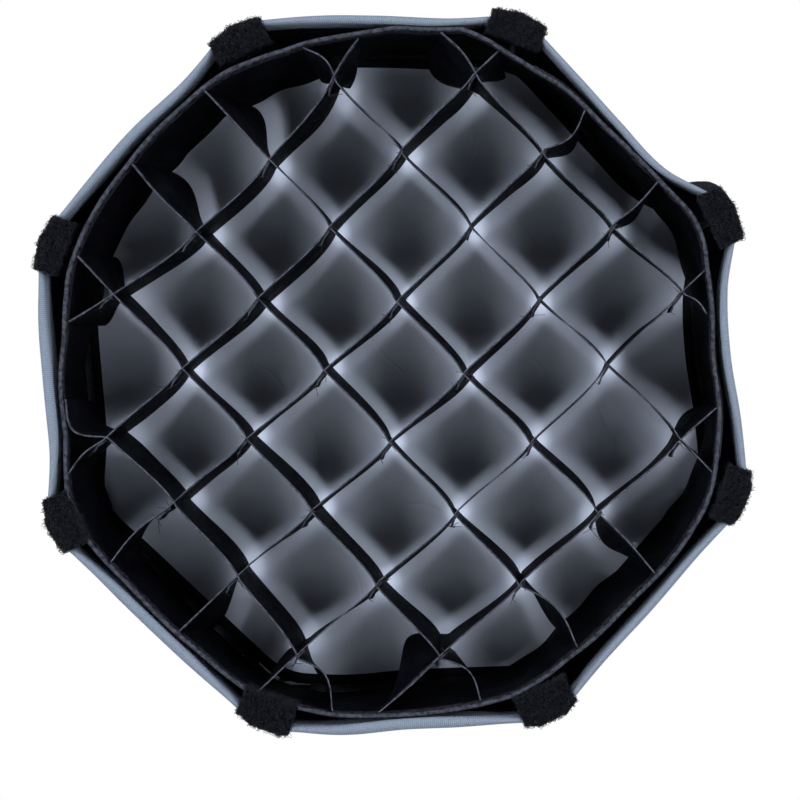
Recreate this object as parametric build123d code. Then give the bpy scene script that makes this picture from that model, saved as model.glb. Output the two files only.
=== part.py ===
"""A 30 cm octabox: an octagonal softbox for a studio lamp, with a fabric egg-crate grid.

Frame: the lamp axis is Y. The origin is on that axis, in the plane where the mount adapter seats on the lamp.
The light leaves towards -Y, so the rim and the grid are at -Y, the lamp is at +Y, and +Z is up.
Lengths are millimetres. In the comments, "depth" is the distance in front of the seating plane (depth = -Y),
"apothem" is the distance from the axis to the middle of an octagon side, and "corner radius" is the distance
from the axis to an octagon corner. Side 1 is the top one, corner 1 is to its right seen from the front, and
both are numbered clockwise.
"""

from build123d import *
import math
import os

# ---------------------------------------------------------------- driving dimensions
SIDES = 8
HALF_SIDE_DEG = 22.5
STEP_DEG = 45.0
COS_HALF = math.cos(math.radians(HALF_SIDE_DEG))
SIN_HALF = math.sin(math.radians(HALF_SIDE_DEG))
TAN_HALF = math.tan(math.radians(HALF_SIDE_DEG))

# mount adapter: a three-lug bayonet spigot at the lamp's side, a hub tube for the speed ring in front
THROAT_R = 45.0
SPIGOT_R = 49.0
SPIGOT_REACH = 8.5
LUG_R = 57.5
LUG_THICK = 2.5
LUG_WIDTH = 22.0
LUGS = 3
FLANGE_R = 66.0
FLANGE_DEPTH = 3.0
SEAT_INNER_R = 59.0
SEAT_RELIEF = 0.5
HUB_R = 52.0
HUB_DEPTH = 16.5
RETAINER_R = 57.0
RETAINER_BORE_R = 46.0
RETAINER_THICK = 2.5
RETAINER_SCREWS = 4
RETAINER_SCREW_CIRCLE_R = 49.2
WASHER_THICK = 0.6

# speed ring, which turns on the hub tube
RING_CLEARANCE = 0.1
RING_END_CLEARANCE = 0.2
RING_R = 72.0
RING_BACK_DEPTH = FLANGE_DEPTH + WASHER_THICK + RING_END_CLEARANCE
RING_FRONT_DEPTH = HUB_DEPTH - RING_END_CLEARANCE
GROOVE_DEPTH = 1.2
GROOVE_FROM_DEPTH = 12.6
GROOVE_TO_DEPTH = 14.6

# lock screw: knob and stud turn together, the pad only slides
LOCK_SCREW_DEPTH = 8.2
LOCK_STUD_R = 3.0
LOCK_HOLE_CLEARANCE = 0.1
LOCK_PAD_R = 2.8
LOCK_PAD_LENGTH = 3.0
LOCK_KNOB_R = 7.5
LOCK_KNOB_LENGTH = 10.0
LOCK_KNOB_FROM_R = RING_R + 3.6
LOCK_KNOB_FLUTES = 12
LOCK_KNOB_FLUTE_R = 1.3

# rods: a straight root in the socket, then an arc out to the corner of the rim
ROD_R = 1.5
ROD_ROOT_DEPTH = 18.6
ROD_ROOT_RADIUS = 62.5
ROD_ROOT_ANGLE_DEG = 54.0
ROD_STRAIGHT = 16.0
ROD_TIP_DEPTH = 160.5
ROD_TIP_RADIUS = 157.3
SOCKET_BORE_CLEARANCE = 0.12
SOCKET_BOSS_R = 4.4
SOCKET_BOSS_LENGTH = 14.0
SOCKET_BASE_FROM_R = 58.6
SOCKET_BASE_TO_R = 71.4
SOCKET_BASE_WIDTH = 22.0
SOCKET_BASE_THICK = 2.4
SOCKET_SCREW_SPACING = 15.6
SOCKET_SCREW_AT_R = 65.0
TIP_R = 2.9
TIP_LENGTH = 9.0
TIP_GRIP = 6.0

# small screws, countable in groups
SCREW_R = 1.25
SCREW_HEAD_R = 2.3
SCREW_HEAD = 1.5
SCREW_HOLE_CLEARANCE = 0.1
SCREW_REACH = 6.0
SCREW_RECESS_R = 0.8
SCREW_RECESS = 0.8

# fabric shell
FABRIC = 0.8
SHELL_OFF_ROD = 3.6
SHELL_BACK_DEPTH = 27.0
SHELL_FRONT_DEPTH = 165.0
MITRE_GAP = 0.15
COLLAR_BACK_DEPTH = 11.8
COLLAR_APOTHEM = 72.7
COLLAR_THICK = 1.0

# rim, lip and what hooks into the lip; offsets are inward from the shell's inner face
RIBBON_BACK_DEPTH = 155.0
RIBBON_FRONT_DEPTH = 167.6
RIBBON_THICK = 0.9
RIBBON_GAP = 0.25
LIP_BACK_DEPTH = 116.0
LIP_FRONT_DEPTH = 154.4
LOOP_TAPE_OFFSET = 0.35
LOOP_TAPE_THICK = 1.7
TAPE_CORNER_GAP = 13.5
POCKET_HALF_WIDTH = 12.5
POCKET_THICK = 1.8
POCKET_BACK_DEPTH = 146.0
POCKET_INSIDE_BACK_DEPTH = 152.0
POCKET_FRONT_DEPTH = 168.5
POCKET_INNER_R = 150.2
POCKET_CLEARANCE = 0.35

# front diffuser
DIFFUSER_DEPTH = 121.0
DIFFUSER_THICK = 0.6
DIFFUSER_EDGE_OFFSET = 3.9
DIFFUSER_CORNER_CUT = 9.0
DIFFUSER_HOOK_TO_DEPTH = 129.0
HOOK_TAPE_OFFSET = 2.5
HOOK_TAPE_THICK = 1.1

# inner diffuser on elastic straps
INNER_DIFFUSER_DEPTH = 72.0
INNER_DIFFUSER_APOTHEM = 74.0
INNER_STRAP_WIDTH = 8.0
INNER_STRAP_THICK = 1.0

# egg-crate grid
GRID_BACK_DEPTH = 131.0
GRID_FRONT_DEPTH = 166.5
GRID_BACK_APOTHEM = 138.2
GRID_FRONT_APOTHEM = 140.3
GRID_HOOK_FROM_DEPTH = 134.0
GRID_HOOK_TO_DEPTH = 162.0
GRID_CORNER_CUT = 11.0
BORDER_THICK = 0.9
HEM_THICK = 2.2
HEM_LENGTH = 5.0
GRID_RISING_PITCH = 41.7
GRID_FALLING_PITCH = 44.4
GRID_STRIPS = 6
GRID_STRIP_THICK = 0.7
GRID_SLOT_CLEARANCE = 0.2
GRID_STRIP_END_GAP = 0.3
GRID_SKEW_DEG = 3.9

FAR = 400.0


# ---------------------------------------------------------------- placing and basic shapes
def turned(shape, degrees):
    """The shape turned about the lamp axis, clockwise seen from the front, so that +Z goes towards +X."""
    return Rot(0, degrees, 0) * shape


def corner_deg(number):
    return HALF_SIDE_DEG + STEP_DEG * (number - 1)


def side_deg(number):
    return STEP_DEG * (number - 1)


def disc(radius, back, front):
    """A cylinder on the lamp axis from one depth to a larger one."""
    return Plane.XZ.offset(back) * extrude(Circle(radius), front - back)


def tube(outer, inner, back, front):
    return disc(outer, back, front) - disc(inner, back - 1, front + 1)


def peg(radius, start, direction, length):
    """A cylinder from a point, along a direction."""
    return Plane(origin=start, z_dir=direction) * extrude(Circle(radius), length)


def section_slab(outline, half_width):
    """A profile of edges in (depth, radius), extruded to both sides of the upright plane through the axis."""
    upright = Plane(origin=(0, 0, 0), x_dir=(0, -1, 0), z_dir=(-1, 0, 0))
    return extrude(upright * make_face(outline), half_width, both=True)


def closed_outline(points):
    """A closed outline with straight edges."""
    return [Line(points[i], points[(i + 1) % len(points)]) for i in range(len(points))]


def sector(corner_gap):
    """The space of the top side between its two corner planes, less a gap beside each."""
    apex = corner_gap / SIN_HALF
    wide = (FAR - apex) * TAN_HALF
    face = make_face(closed_outline([(-wide, FAR), (0, apex), (wide, FAR)]))
    return extrude(Plane(origin=(0, 20, 0), x_dir=(1, 0, 0), z_dir=(0, -1, 0)) * face, 220)


def side_piece(outline, corner_gap=MITRE_GAP):
    """A piece along the top side: its section runs from corner to corner and is mitred there."""
    return section_slab(outline, 100) & sector(corner_gap)


# ---------------------------------------------------------------- the rod's line, which the shell follows
def rod_line():
    """Root, end of the straight stretch, tip, and the arc's centre and radius, in (depth, corner radius)."""
    angle = math.radians(ROD_ROOT_ANGLE_DEG)
    root = (ROD_ROOT_DEPTH, ROD_ROOT_RADIUS)
    bend = (root[0] + ROD_STRAIGHT * math.cos(angle), root[1] + ROD_STRAIGHT * math.sin(angle))
    tip = (ROD_TIP_DEPTH, ROD_TIP_RADIUS)
    chord = math.hypot(tip[0] - bend[0], tip[1] - bend[1])
    half_turn = angle - math.atan2(tip[1] - bend[1], tip[0] - bend[0])
    radius = chord / (2 * math.sin(half_turn))
    centre = (bend[0] + radius * math.sin(angle), bend[1] - radius * math.cos(angle))
    return root, bend, tip, centre, radius


ROOT, BEND, TIP, ARC_CENTRE, ARC_R = rod_line()


def shell_corner_radius(depth, offset):
    """Corner radius of a surface that lies offset outside the rods' arc, at a depth."""
    radius = ARC_R + offset
    return ARC_CENTRE[1] + math.sqrt(radius**2 - (depth - ARC_CENTRE[0]) ** 2)


def shell_apothem(depth, outward=0.0):
    """Apothem of the shell's inner face at a depth, or of a face that lies outward from it."""
    return shell_corner_radius(depth, SHELL_OFF_ROD) * COS_HALF + outward


def lip_point(depth, offset):
    """A point that lies offset inside the straight line across the lip's inner face."""
    back = (LIP_BACK_DEPTH, shell_apothem(LIP_BACK_DEPTH))
    front = (LIP_FRONT_DEPTH, shell_apothem(LIP_FRONT_DEPTH))
    slope = (front[1] - back[1]) / (front[0] - back[0])
    return depth, back[1] + slope * (depth - back[0]) - offset


def lip_layer(back, front, offset, thick):
    """A flat layer along the lip, as a closed outline in (depth, apothem)."""
    return closed_outline(
        [
            lip_point(back, offset),
            lip_point(front, offset),
            lip_point(front, offset + thick),
            lip_point(back, offset + thick),
        ]
    )


def cut_octagon(apothem, cut):
    """An octagon whose corners are cut off flat, cut mm in from each corner along the side."""
    half_side = apothem * TAN_HALF
    points = []
    for k in range(SIDES):
        angle = math.radians(STEP_DEG * k)
        for along in (cut - half_side, half_side - cut):
            points.append(
                (
                    apothem * math.sin(angle) + along * math.cos(angle),
                    apothem * math.cos(angle) - along * math.sin(angle),
                )
            )
    return points


def cut_octagon_block(back, back_apothem, front, front_apothem, cut):
    """A block between two cut octagons that stand at two depths."""
    faces = []
    for depth, apothem in ((back, back_apothem), (front, front_apothem)):
        plane = Plane(origin=(0, -depth, 0), x_dir=(1, 0, 0), z_dir=(0, -1, 0))
        faces.append(plane * make_face(closed_outline(cut_octagon(apothem, cut))))
    return loft(faces, ruled=True)


# ---------------------------------------------------------------- mount and speed ring
def mount_adapter():
    body = disc(SPIGOT_R, -SPIGOT_REACH, 0) + disc(FLANGE_R, 0, FLANGE_DEPTH)
    body = body + disc(HUB_R, FLANGE_DEPTH, HUB_DEPTH)
    body = body - tube(SEAT_INNER_R, SPIGOT_R, -1, SEAT_RELIEF)
    lug = Pos(0, SPIGOT_REACH - LUG_THICK / 2, LUG_R / 2) * Box(LUG_WIDTH, LUG_THICK, LUG_R)
    lug = lug & disc(LUG_R, -SPIGOT_REACH, 0)
    for k in range(LUGS):
        body = body + turned(lug, 360 / LUGS * k)
    body = body - disc(THROAT_R, -SPIGOT_REACH - 1, HUB_DEPTH + 1)
    for k in range(RETAINER_SCREWS):
        hole = peg(
            SCREW_R + SCREW_HOLE_CLEARANCE,
            (0, -HUB_DEPTH - 1, RETAINER_SCREW_CIRCLE_R),
            (0, 1, 0),
            SCREW_REACH + 1.5,
        )
        body = body - turned(hole, 360 / RETAINER_SCREWS * k + STEP_DEG)
    return body


def glide_washer():
    """Plastic washer between the adapter's flange and the turning ring."""
    return tube(FLANGE_R - 1, HUB_R + RING_CLEARANCE, FLANGE_DEPTH, FLANGE_DEPTH + WASHER_THICK)


def retainer_ring():
    ring = tube(RETAINER_R, RETAINER_BORE_R, HUB_DEPTH, HUB_DEPTH + RETAINER_THICK)
    for k in range(RETAINER_SCREWS):
        hole = peg(
            SCREW_R + SCREW_HOLE_CLEARANCE,
            (0, -HUB_DEPTH - RETAINER_THICK - 1, RETAINER_SCREW_CIRCLE_R),
            (0, 1, 0),
            RETAINER_THICK + 2,
        )
        ring = ring - turned(hole, 360 / RETAINER_SCREWS * k + STEP_DEG)
    return ring


def small_screw(seat_depth, at_radius, across=0.0):
    """A pan-head screw that points back at the lamp, its head on a face at a depth."""
    head = peg(SCREW_HEAD_R, (across, -seat_depth - SCREW_HEAD, at_radius), (0, 1, 0), SCREW_HEAD)
    head = fillet(head.edges().group_by(Axis.Y)[0], 0.6)
    shank = peg(SCREW_R, (across, -seat_depth, at_radius), (0, 1, 0), SCREW_REACH)
    above_head = (across, -seat_depth - SCREW_HEAD - 1, at_radius)
    recess = peg(SCREW_RECESS_R, above_head, (0, 1, 0), SCREW_RECESS + 1)
    return head + shank - recess


def retainer_screws():
    screw = small_screw(HUB_DEPTH + RETAINER_THICK, RETAINER_SCREW_CIRCLE_R)
    return [turned(screw, 360 / RETAINER_SCREWS * k + STEP_DEG) for k in range(RETAINER_SCREWS)]


def socket_screw_places():
    """(across, radius) of one socket's two screws, in the frame of the top corner."""
    return [(side * SOCKET_SCREW_SPACING / 2, SOCKET_SCREW_AT_R) for side in (-1, 1)]


def speed_ring():
    ring = tube(RING_R, HUB_R + RING_CLEARANCE, RING_BACK_DEPTH, RING_FRONT_DEPTH)
    ring = ring - tube(RING_R + 1, RING_R - GROOVE_DEPTH, GROOVE_FROM_DEPTH, GROOVE_TO_DEPTH)
    for number in range(1, SIDES + 1):
        for across, radius in socket_screw_places():
            hole = peg(
                SCREW_R + SCREW_HOLE_CLEARANCE,
                (across, -RING_FRONT_DEPTH - 1, radius),
                (0, 1, 0),
                SCREW_REACH + 1.5,
            )
            ring = ring - turned(hole, corner_deg(number))
    hole_start = (HUB_R - 2, -LOCK_SCREW_DEPTH, 0)
    hole = peg(LOCK_STUD_R + LOCK_HOLE_CLEARANCE, hole_start, (1, 0, 0), RING_R - HUB_R + 4)
    return ring - hole


def lock_pad():
    return peg(LOCK_PAD_R, (HUB_R + 0.15, -LOCK_SCREW_DEPTH, 0), (1, 0, 0), LOCK_PAD_LENGTH)


def lock_stud():
    start = HUB_R + 0.15 + LOCK_PAD_LENGTH + 0.05
    stud = peg(LOCK_STUD_R, (start, -LOCK_SCREW_DEPTH, 0), (1, 0, 0), LOCK_KNOB_FROM_R + 6 - start)
    return chamfer(stud.edges().group_by(Axis.X)[0], 0.5)


def lock_knob():
    knob = peg(LOCK_KNOB_R, (LOCK_KNOB_FROM_R, -LOCK_SCREW_DEPTH, 0), (1, 0, 0), LOCK_KNOB_LENGTH)
    knob = fillet(knob.edges().group_by(Axis.X)[-1], 1.8)
    knob = chamfer(knob.edges().group_by(Axis.X)[0], 0.8)
    for k in range(LOCK_KNOB_FLUTES):
        angle = 2 * math.pi * k / LOCK_KNOB_FLUTES
        reach = LOCK_KNOB_R + 0.5
        start = (LOCK_KNOB_FROM_R - 1, -LOCK_SCREW_DEPTH + reach * math.cos(angle), reach * math.sin(angle))
        knob = knob - peg(LOCK_KNOB_FLUTE_R, start, (1, 0, 0), LOCK_KNOB_LENGTH + 2)
    return knob - peg(LOCK_STUD_R, (LOCK_KNOB_FROM_R - 1, -LOCK_SCREW_DEPTH, 0), (1, 0, 0), 7)


# ---------------------------------------------------------------- sockets and rods
def rod_direction():
    """The rod's direction at its root, as a vector in the top corner's frame."""
    angle = math.radians(ROD_ROOT_ANGLE_DEG)
    return (0, -math.cos(angle), math.sin(angle))


def rod_socket():
    """A base on the ring's front face with a slanting boss, bored for the rod."""
    base_middle = (0, -RING_FRONT_DEPTH - SOCKET_BASE_THICK / 2, (SOCKET_BASE_FROM_R + SOCKET_BASE_TO_R) / 2)
    base = Pos(*base_middle) * Box(
        SOCKET_BASE_WIDTH, SOCKET_BASE_THICK, SOCKET_BASE_TO_R - SOCKET_BASE_FROM_R
    )
    base = fillet(base.edges().filter_by(Axis.Y), 2.5)
    root = (0, -ROOT[0], ROOT[1])
    along = rod_direction()
    boss_start = tuple(root[i] - 3 * along[i] for i in range(3))
    boss = peg(SOCKET_BOSS_R, boss_start, along, SOCKET_BOSS_LENGTH + 3)
    behind_ring = Pos(0, -RING_FRONT_DEPTH + 10, ROOT[1]) * Box(60, 20, 80)
    socket = base + (boss - behind_ring)
    bore_start = tuple(root[i] - 0.2 * along[i] for i in range(3))
    socket = socket - peg(ROD_R + SOCKET_BORE_CLEARANCE, bore_start, along, 40)
    for across, radius in socket_screw_places():
        hole = peg(
            SCREW_R + SCREW_HOLE_CLEARANCE,
            (across, -RING_FRONT_DEPTH - SOCKET_BASE_THICK - 1, radius),
            (0, 1, 0),
            SOCKET_BASE_THICK + 2,
        )
        socket = socket - hole
    return socket


def socket_screws():
    screws = []
    for number in range(1, SIDES + 1):
        for across, radius in socket_screw_places():
            screw = small_screw(RING_FRONT_DEPTH + SOCKET_BASE_THICK, radius, across)
            screws.append(turned(screw, corner_deg(number)))
    return screws


def in_corner_plane(point):
    """A (depth, corner radius) point in the top corner's frame."""
    return (0, -point[0], point[1])


def rod_mid_arc():
    middle = ((BEND[0] + TIP[0]) / 2 - ARC_CENTRE[0], (BEND[1] + TIP[1]) / 2 - ARC_CENTRE[1])
    reach = math.hypot(*middle)
    return tuple(ARC_CENTRE[i] + middle[i] * ARC_R / reach for i in range(2))


def rod_end_direction():
    """The rod's direction at its tip, in the top corner's frame."""
    from_centre = (TIP[0] - ARC_CENTRE[0], TIP[1] - ARC_CENTRE[1])
    length = math.hypot(*from_centre)
    return (0, -from_centre[1] / length, -from_centre[0] / length)


def rod():
    path = Line(in_corner_plane(ROOT), in_corner_plane(BEND)) + ThreePointArc(
        in_corner_plane(BEND), in_corner_plane(rod_mid_arc()), in_corner_plane(TIP)
    )
    start = Plane(origin=in_corner_plane(ROOT), z_dir=rod_direction())
    return sweep(start * Circle(ROD_R), path=path)


def rod_tip():
    """A rubber cap over the rod's end."""
    along = rod_end_direction()
    tip = in_corner_plane(TIP)
    start = tuple(tip[i] - TIP_GRIP * along[i] for i in range(3))
    cap = peg(TIP_R, start, along, TIP_LENGTH)
    far_end = tuple(start[i] + TIP_LENGTH * along[i] for i in range(3))
    rim = sorted(cap.edges(), key=lambda edge: (edge.center() - Vector(*far_end)).length)[0]
    cap = fillet(rim, 1.4)
    bore_start = tuple(start[i] - along[i] for i in range(3))
    return cap - peg(ROD_R + 0.12, bore_start, along, TIP_GRIP + 1.15)


# ---------------------------------------------------------------- fabric shell and rim
def shell_panel():
    """One side of the shell, bowed as the rods bow."""
    depths = (SHELL_BACK_DEPTH, (SHELL_BACK_DEPTH + SHELL_FRONT_DEPTH) / 2, SHELL_FRONT_DEPTH)
    inner = [(depth, shell_apothem(depth)) for depth in depths]
    outer = [(depth, shell_apothem(depth, FABRIC)) for depth in depths]
    outline = [
        ThreePointArc(*inner),
        Line(inner[2], outer[2]),
        ThreePointArc(*reversed(outer)),
        Line(outer[0], inner[0]),
    ]
    return side_piece(outline)


def rear_collar():
    """Elastic collar that joins the shell's back edge to the speed ring."""
    front = SHELL_BACK_DEPTH - 0.2
    outline = closed_outline(
        [
            (COLLAR_BACK_DEPTH, COLLAR_APOTHEM),
            (front, shell_apothem(front)),
            (front, shell_apothem(front) + COLLAR_THICK),
            (COLLAR_BACK_DEPTH, COLLAR_APOTHEM + COLLAR_THICK),
        ]
    )
    return [turned(side_piece(outline), side_deg(n)) for n in range(1, SIDES + 1)]


def edge_binding():
    """Ribbon folded over the shell's front edge, one length between each two corner pockets."""
    front = RIBBON_FRONT_DEPTH - RIBBON_THICK
    inside = -RIBBON_GAP
    outside = FABRIC + RIBBON_GAP
    outline = closed_outline(
        [
            (RIBBON_BACK_DEPTH, shell_apothem(RIBBON_BACK_DEPTH, inside)),
            (front, shell_apothem(front, inside)),
            (front, shell_apothem(front, outside)),
            (RIBBON_BACK_DEPTH, shell_apothem(RIBBON_BACK_DEPTH, outside)),
            (RIBBON_BACK_DEPTH, shell_apothem(RIBBON_BACK_DEPTH, outside + RIBBON_THICK)),
            (RIBBON_FRONT_DEPTH, shell_apothem(RIBBON_FRONT_DEPTH, outside + RIBBON_THICK)),
            (RIBBON_FRONT_DEPTH, shell_apothem(RIBBON_FRONT_DEPTH, inside - RIBBON_THICK)),
            (RIBBON_BACK_DEPTH, shell_apothem(RIBBON_BACK_DEPTH, inside - RIBBON_THICK)),
        ]
    )
    gap = POCKET_HALF_WIDTH + POCKET_CLEARANCE
    return [turned(side_piece(outline, gap), side_deg(n)) for n in range(1, SIDES + 1)]


def lip_loop_tape():
    """Loop tape round the inside of the lip, stopped short of the rods."""
    outline = lip_layer(LIP_BACK_DEPTH, LIP_FRONT_DEPTH, LOOP_TAPE_OFFSET, LOOP_TAPE_THICK)
    return [turned(side_piece(outline, TAPE_CORNER_GAP), side_deg(n)) for n in range(1, SIDES + 1)]


def corner_pocket():
    """Loop tape folded over the rim at a corner, in the frame of the top corner: it holds the rod's end."""
    back, front = POCKET_BACK_DEPTH, POCKET_FRONT_DEPTH - POCKET_THICK
    outside = POCKET_CLEARANCE + FABRIC
    outline = closed_outline(
        [
            (back, shell_apothem(back, outside)),
            (front, shell_apothem(front, outside)),
            (front, POCKET_INNER_R * COS_HALF - POCKET_HALF_WIDTH),
            (POCKET_FRONT_DEPTH, POCKET_INNER_R * COS_HALF - POCKET_HALF_WIDTH),
            (POCKET_FRONT_DEPTH, shell_apothem(front, outside + POCKET_THICK)),
            (back, shell_apothem(back, outside + POCKET_THICK)),
        ]
    )
    width = 2 * POCKET_HALF_WIDTH
    beyond_inner_face = Pos(0, 0, POCKET_INNER_R + FAR / 2) * Box(width, FAR, FAR)
    halves = [turned(side_piece(outline, 0), turn) for turn in (-HALF_SIDE_DEG, HALF_SIDE_DEG)]
    length = POCKET_FRONT_DEPTH - POCKET_INSIDE_BACK_DEPTH
    inside = Pos(0, -POCKET_FRONT_DEPTH + length / 2, POCKET_INNER_R + POCKET_THICK / 2) * Box(
        width, length, POCKET_THICK
    )
    return (halves[0] & beyond_inner_face) + (halves[1] & beyond_inner_face) + inside


# ---------------------------------------------------------------- diffusers
def front_diffuser():
    apothem = lip_point(DIFFUSER_DEPTH, DIFFUSER_EDGE_OFFSET)[1]
    return cut_octagon_block(
        DIFFUSER_DEPTH, apothem, DIFFUSER_DEPTH + DIFFUSER_THICK, apothem, DIFFUSER_CORNER_CUT
    )


def diffuser_hook_tape():
    outline = lip_layer(DIFFUSER_DEPTH, DIFFUSER_HOOK_TO_DEPTH, HOOK_TAPE_OFFSET, HOOK_TAPE_THICK)
    return [turned(side_piece(outline, TAPE_CORNER_GAP), side_deg(n)) for n in range(1, SIDES + 1)]


def inner_diffuser():
    return cut_octagon_block(
        INNER_DIFFUSER_DEPTH,
        INNER_DIFFUSER_APOTHEM,
        INNER_DIFFUSER_DEPTH + DIFFUSER_THICK,
        INNER_DIFFUSER_APOTHEM,
        2.0,
    )


def inner_diffuser_straps():
    """Elastic straps from the inner diffuser's corners to the shell's seams, each passed round its rod."""
    start = INNER_DIFFUSER_APOTHEM / COS_HALF - 0.4
    end = shell_corner_radius(INNER_DIFFUSER_DEPTH, 0) - ROD_R - 0.4
    middle = -INNER_DIFFUSER_DEPTH - INNER_STRAP_THICK / 2
    strap = Pos(0, middle, (start + end) / 2) * Box(INNER_STRAP_WIDTH, INNER_STRAP_THICK, end - start)
    return [turned(strap, corner_deg(n)) for n in range(1, SIDES + 1)]


# ---------------------------------------------------------------- egg-crate grid
def grid_apothem(depth):
    """Apothem of the grid border's outer face at a depth."""
    share = (depth - GRID_BACK_DEPTH) / (GRID_FRONT_DEPTH - GRID_BACK_DEPTH)
    return GRID_BACK_APOTHEM + share * (GRID_FRONT_APOTHEM - GRID_BACK_APOTHEM)


def grid_block(offset, back, front):
    """A block between two depths, offset inside the grid border's outer face."""
    back_apothem = grid_apothem(back) - offset
    front_apothem = grid_apothem(front) - offset
    return cut_octagon_block(back, back_apothem, front, front_apothem, GRID_CORNER_CUT)


def grid_border():
    """The band round the grid, with a folded hem along its front edge."""
    hem_back = GRID_FRONT_DEPTH - HEM_LENGTH
    past_front = GRID_FRONT_DEPTH + 1
    band = grid_block(0, GRID_BACK_DEPTH, GRID_FRONT_DEPTH)
    band = band - grid_block(BORDER_THICK, GRID_BACK_DEPTH - 1, past_front)
    hem = grid_block(0, hem_back, GRID_FRONT_DEPTH) - grid_block(HEM_THICK, hem_back - 1, past_front)
    return band + hem


def grid_strips(pitch, pitch_across, slots_at_front):
    """Six level strips a pitch apart, cut half through where the other family of strips crosses."""
    back, front = GRID_BACK_DEPTH + 0.5, GRID_FRONT_DEPTH - 0.5
    middle = (back + front) / 2
    inside = turned(grid_block(HEM_THICK + GRID_STRIP_END_GAP, back, front), STEP_DEG - GRID_SKEW_DEG)
    steps = [k - (GRID_STRIPS - 1) / 2 for k in range(GRID_STRIPS)]
    slot_from = middle - GRID_SLOT_CLEARANCE if slots_at_front else back - 1
    slot_to = front + 1 if slots_at_front else middle + GRID_SLOT_CLEARANCE
    slot_width = GRID_STRIP_THICK + 2 * GRID_SLOT_CLEARANCE
    strips = []
    for step in steps:
        place = pitch * step
        strip = Pos(0, -middle, place) * Box(FAR, front - back, GRID_STRIP_THICK)
        for across in steps:
            slot = Box(slot_width, slot_to - slot_from, 3 * GRID_STRIP_THICK)
            strip = strip - Pos(pitch_across * across, -(slot_from + slot_to) / 2, place) * slot
        strips.append(strip & inside)
    return strips


def grid_hook_tape():
    """Hook tape on the outside of the grid border."""
    gap = 0.15
    back, front = GRID_HOOK_FROM_DEPTH, GRID_HOOK_TO_DEPTH
    outline = closed_outline(
        [
            (back, grid_apothem(back) + gap),
            (front, grid_apothem(front) + gap),
            (front, grid_apothem(front) + gap + HOOK_TAPE_THICK),
            (back, grid_apothem(back) + gap + HOOK_TAPE_THICK),
        ]
    )
    return [turned(side_piece(outline, TAPE_CORNER_GAP), side_deg(n)) for n in range(1, SIDES + 1)]


# ---------------------------------------------------------------- writing the parts
def write(name, shape):
    """Writes one node; a list of pieces becomes one node of separate solids."""
    pieces = shape if isinstance(shape, list) else [shape]
    solids = [solid for piece in pieces for solid in piece.solids()]
    export_step(Compound(children=solids) if len(solids) > 1 else solids[0], f"parts/{name}.step")


def main():
    os.makedirs("parts", exist_ok=True)
    rising = grid_strips(GRID_RISING_PITCH, GRID_FALLING_PITCH, True)
    falling = grid_strips(GRID_FALLING_PITCH, GRID_RISING_PITCH, False)
    singles = {
        "mount_adapter": mount_adapter(),
        "glide_washer": glide_washer(),
        "retainer_ring": retainer_ring(),
        "retainer_screws": retainer_screws(),
        "speed_ring": speed_ring(),
        "socket_screws": socket_screws(),
        "lock_knob": lock_knob(),
        "lock_stud": lock_stud(),
        "lock_pad": lock_pad(),
        "rear_collar": rear_collar(),
        "edge_binding": edge_binding(),
        "lip_loop_tape": lip_loop_tape(),
        "front_diffuser": front_diffuser(),
        "diffuser_hook_tape": diffuser_hook_tape(),
        "inner_diffuser": inner_diffuser(),
        "inner_diffuser_straps": inner_diffuser_straps(),
        "grid_border": grid_border(),
        "grid_strips_rising": [turned(strip, GRID_SKEW_DEG - STEP_DEG) for strip in rising],
        "grid_strips_falling": [turned(strip, GRID_SKEW_DEG + STEP_DEG) for strip in falling],
        "grid_hook_tape": grid_hook_tape(),
    }
    for name, shape in singles.items():
        write(name, shape)
    at_corners = {
        "rod_socket": rod_socket(),
        "rod": rod(),
        "rod_tip": rod_tip(),
        "corner_pocket": corner_pocket(),
    }
    panel = shell_panel()
    for number in range(1, SIDES + 1):
        for name, shape in at_corners.items():
            write(f"{name}_{number}", turned(shape, corner_deg(number)))
        write(f"shell_panel_{number}", turned(panel, side_deg(number)))


main()
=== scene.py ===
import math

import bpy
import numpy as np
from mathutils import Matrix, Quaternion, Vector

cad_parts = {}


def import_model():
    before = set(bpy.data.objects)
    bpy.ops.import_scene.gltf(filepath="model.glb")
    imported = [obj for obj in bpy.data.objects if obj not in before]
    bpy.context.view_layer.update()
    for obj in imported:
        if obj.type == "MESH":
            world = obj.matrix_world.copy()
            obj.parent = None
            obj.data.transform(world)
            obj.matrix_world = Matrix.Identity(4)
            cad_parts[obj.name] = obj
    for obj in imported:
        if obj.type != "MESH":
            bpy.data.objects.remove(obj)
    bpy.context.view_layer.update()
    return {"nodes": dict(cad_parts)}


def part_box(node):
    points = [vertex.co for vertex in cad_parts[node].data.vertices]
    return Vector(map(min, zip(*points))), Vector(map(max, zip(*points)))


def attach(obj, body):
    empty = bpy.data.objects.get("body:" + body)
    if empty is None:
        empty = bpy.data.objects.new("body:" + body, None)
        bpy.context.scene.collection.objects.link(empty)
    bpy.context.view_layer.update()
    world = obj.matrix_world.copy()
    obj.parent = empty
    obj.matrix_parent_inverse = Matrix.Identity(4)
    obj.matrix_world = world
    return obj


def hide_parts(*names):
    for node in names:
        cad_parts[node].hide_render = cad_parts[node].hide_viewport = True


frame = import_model()

# Looks of the 30 cm octabox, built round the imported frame.
#
# The lamp axis is Y and the light leaves towards -Y. Shapes are worked out in millimetres and become metres
# when a mesh is made: "depth" is the distance in front of the adapter's seating plane, "reach" the distance
# from the axis. Angles are degrees clockwise from the top, seen from the front. Corner n is between sides n
# and n + 1.

RNG = np.random.default_rng(8)

MM = 0.001
SIDES = 8
STEP = 45.0
HALF = 22.5
TAN_HALF = math.tan(math.radians(HALF))
COS_HALF = math.cos(math.radians(HALF))


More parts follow.
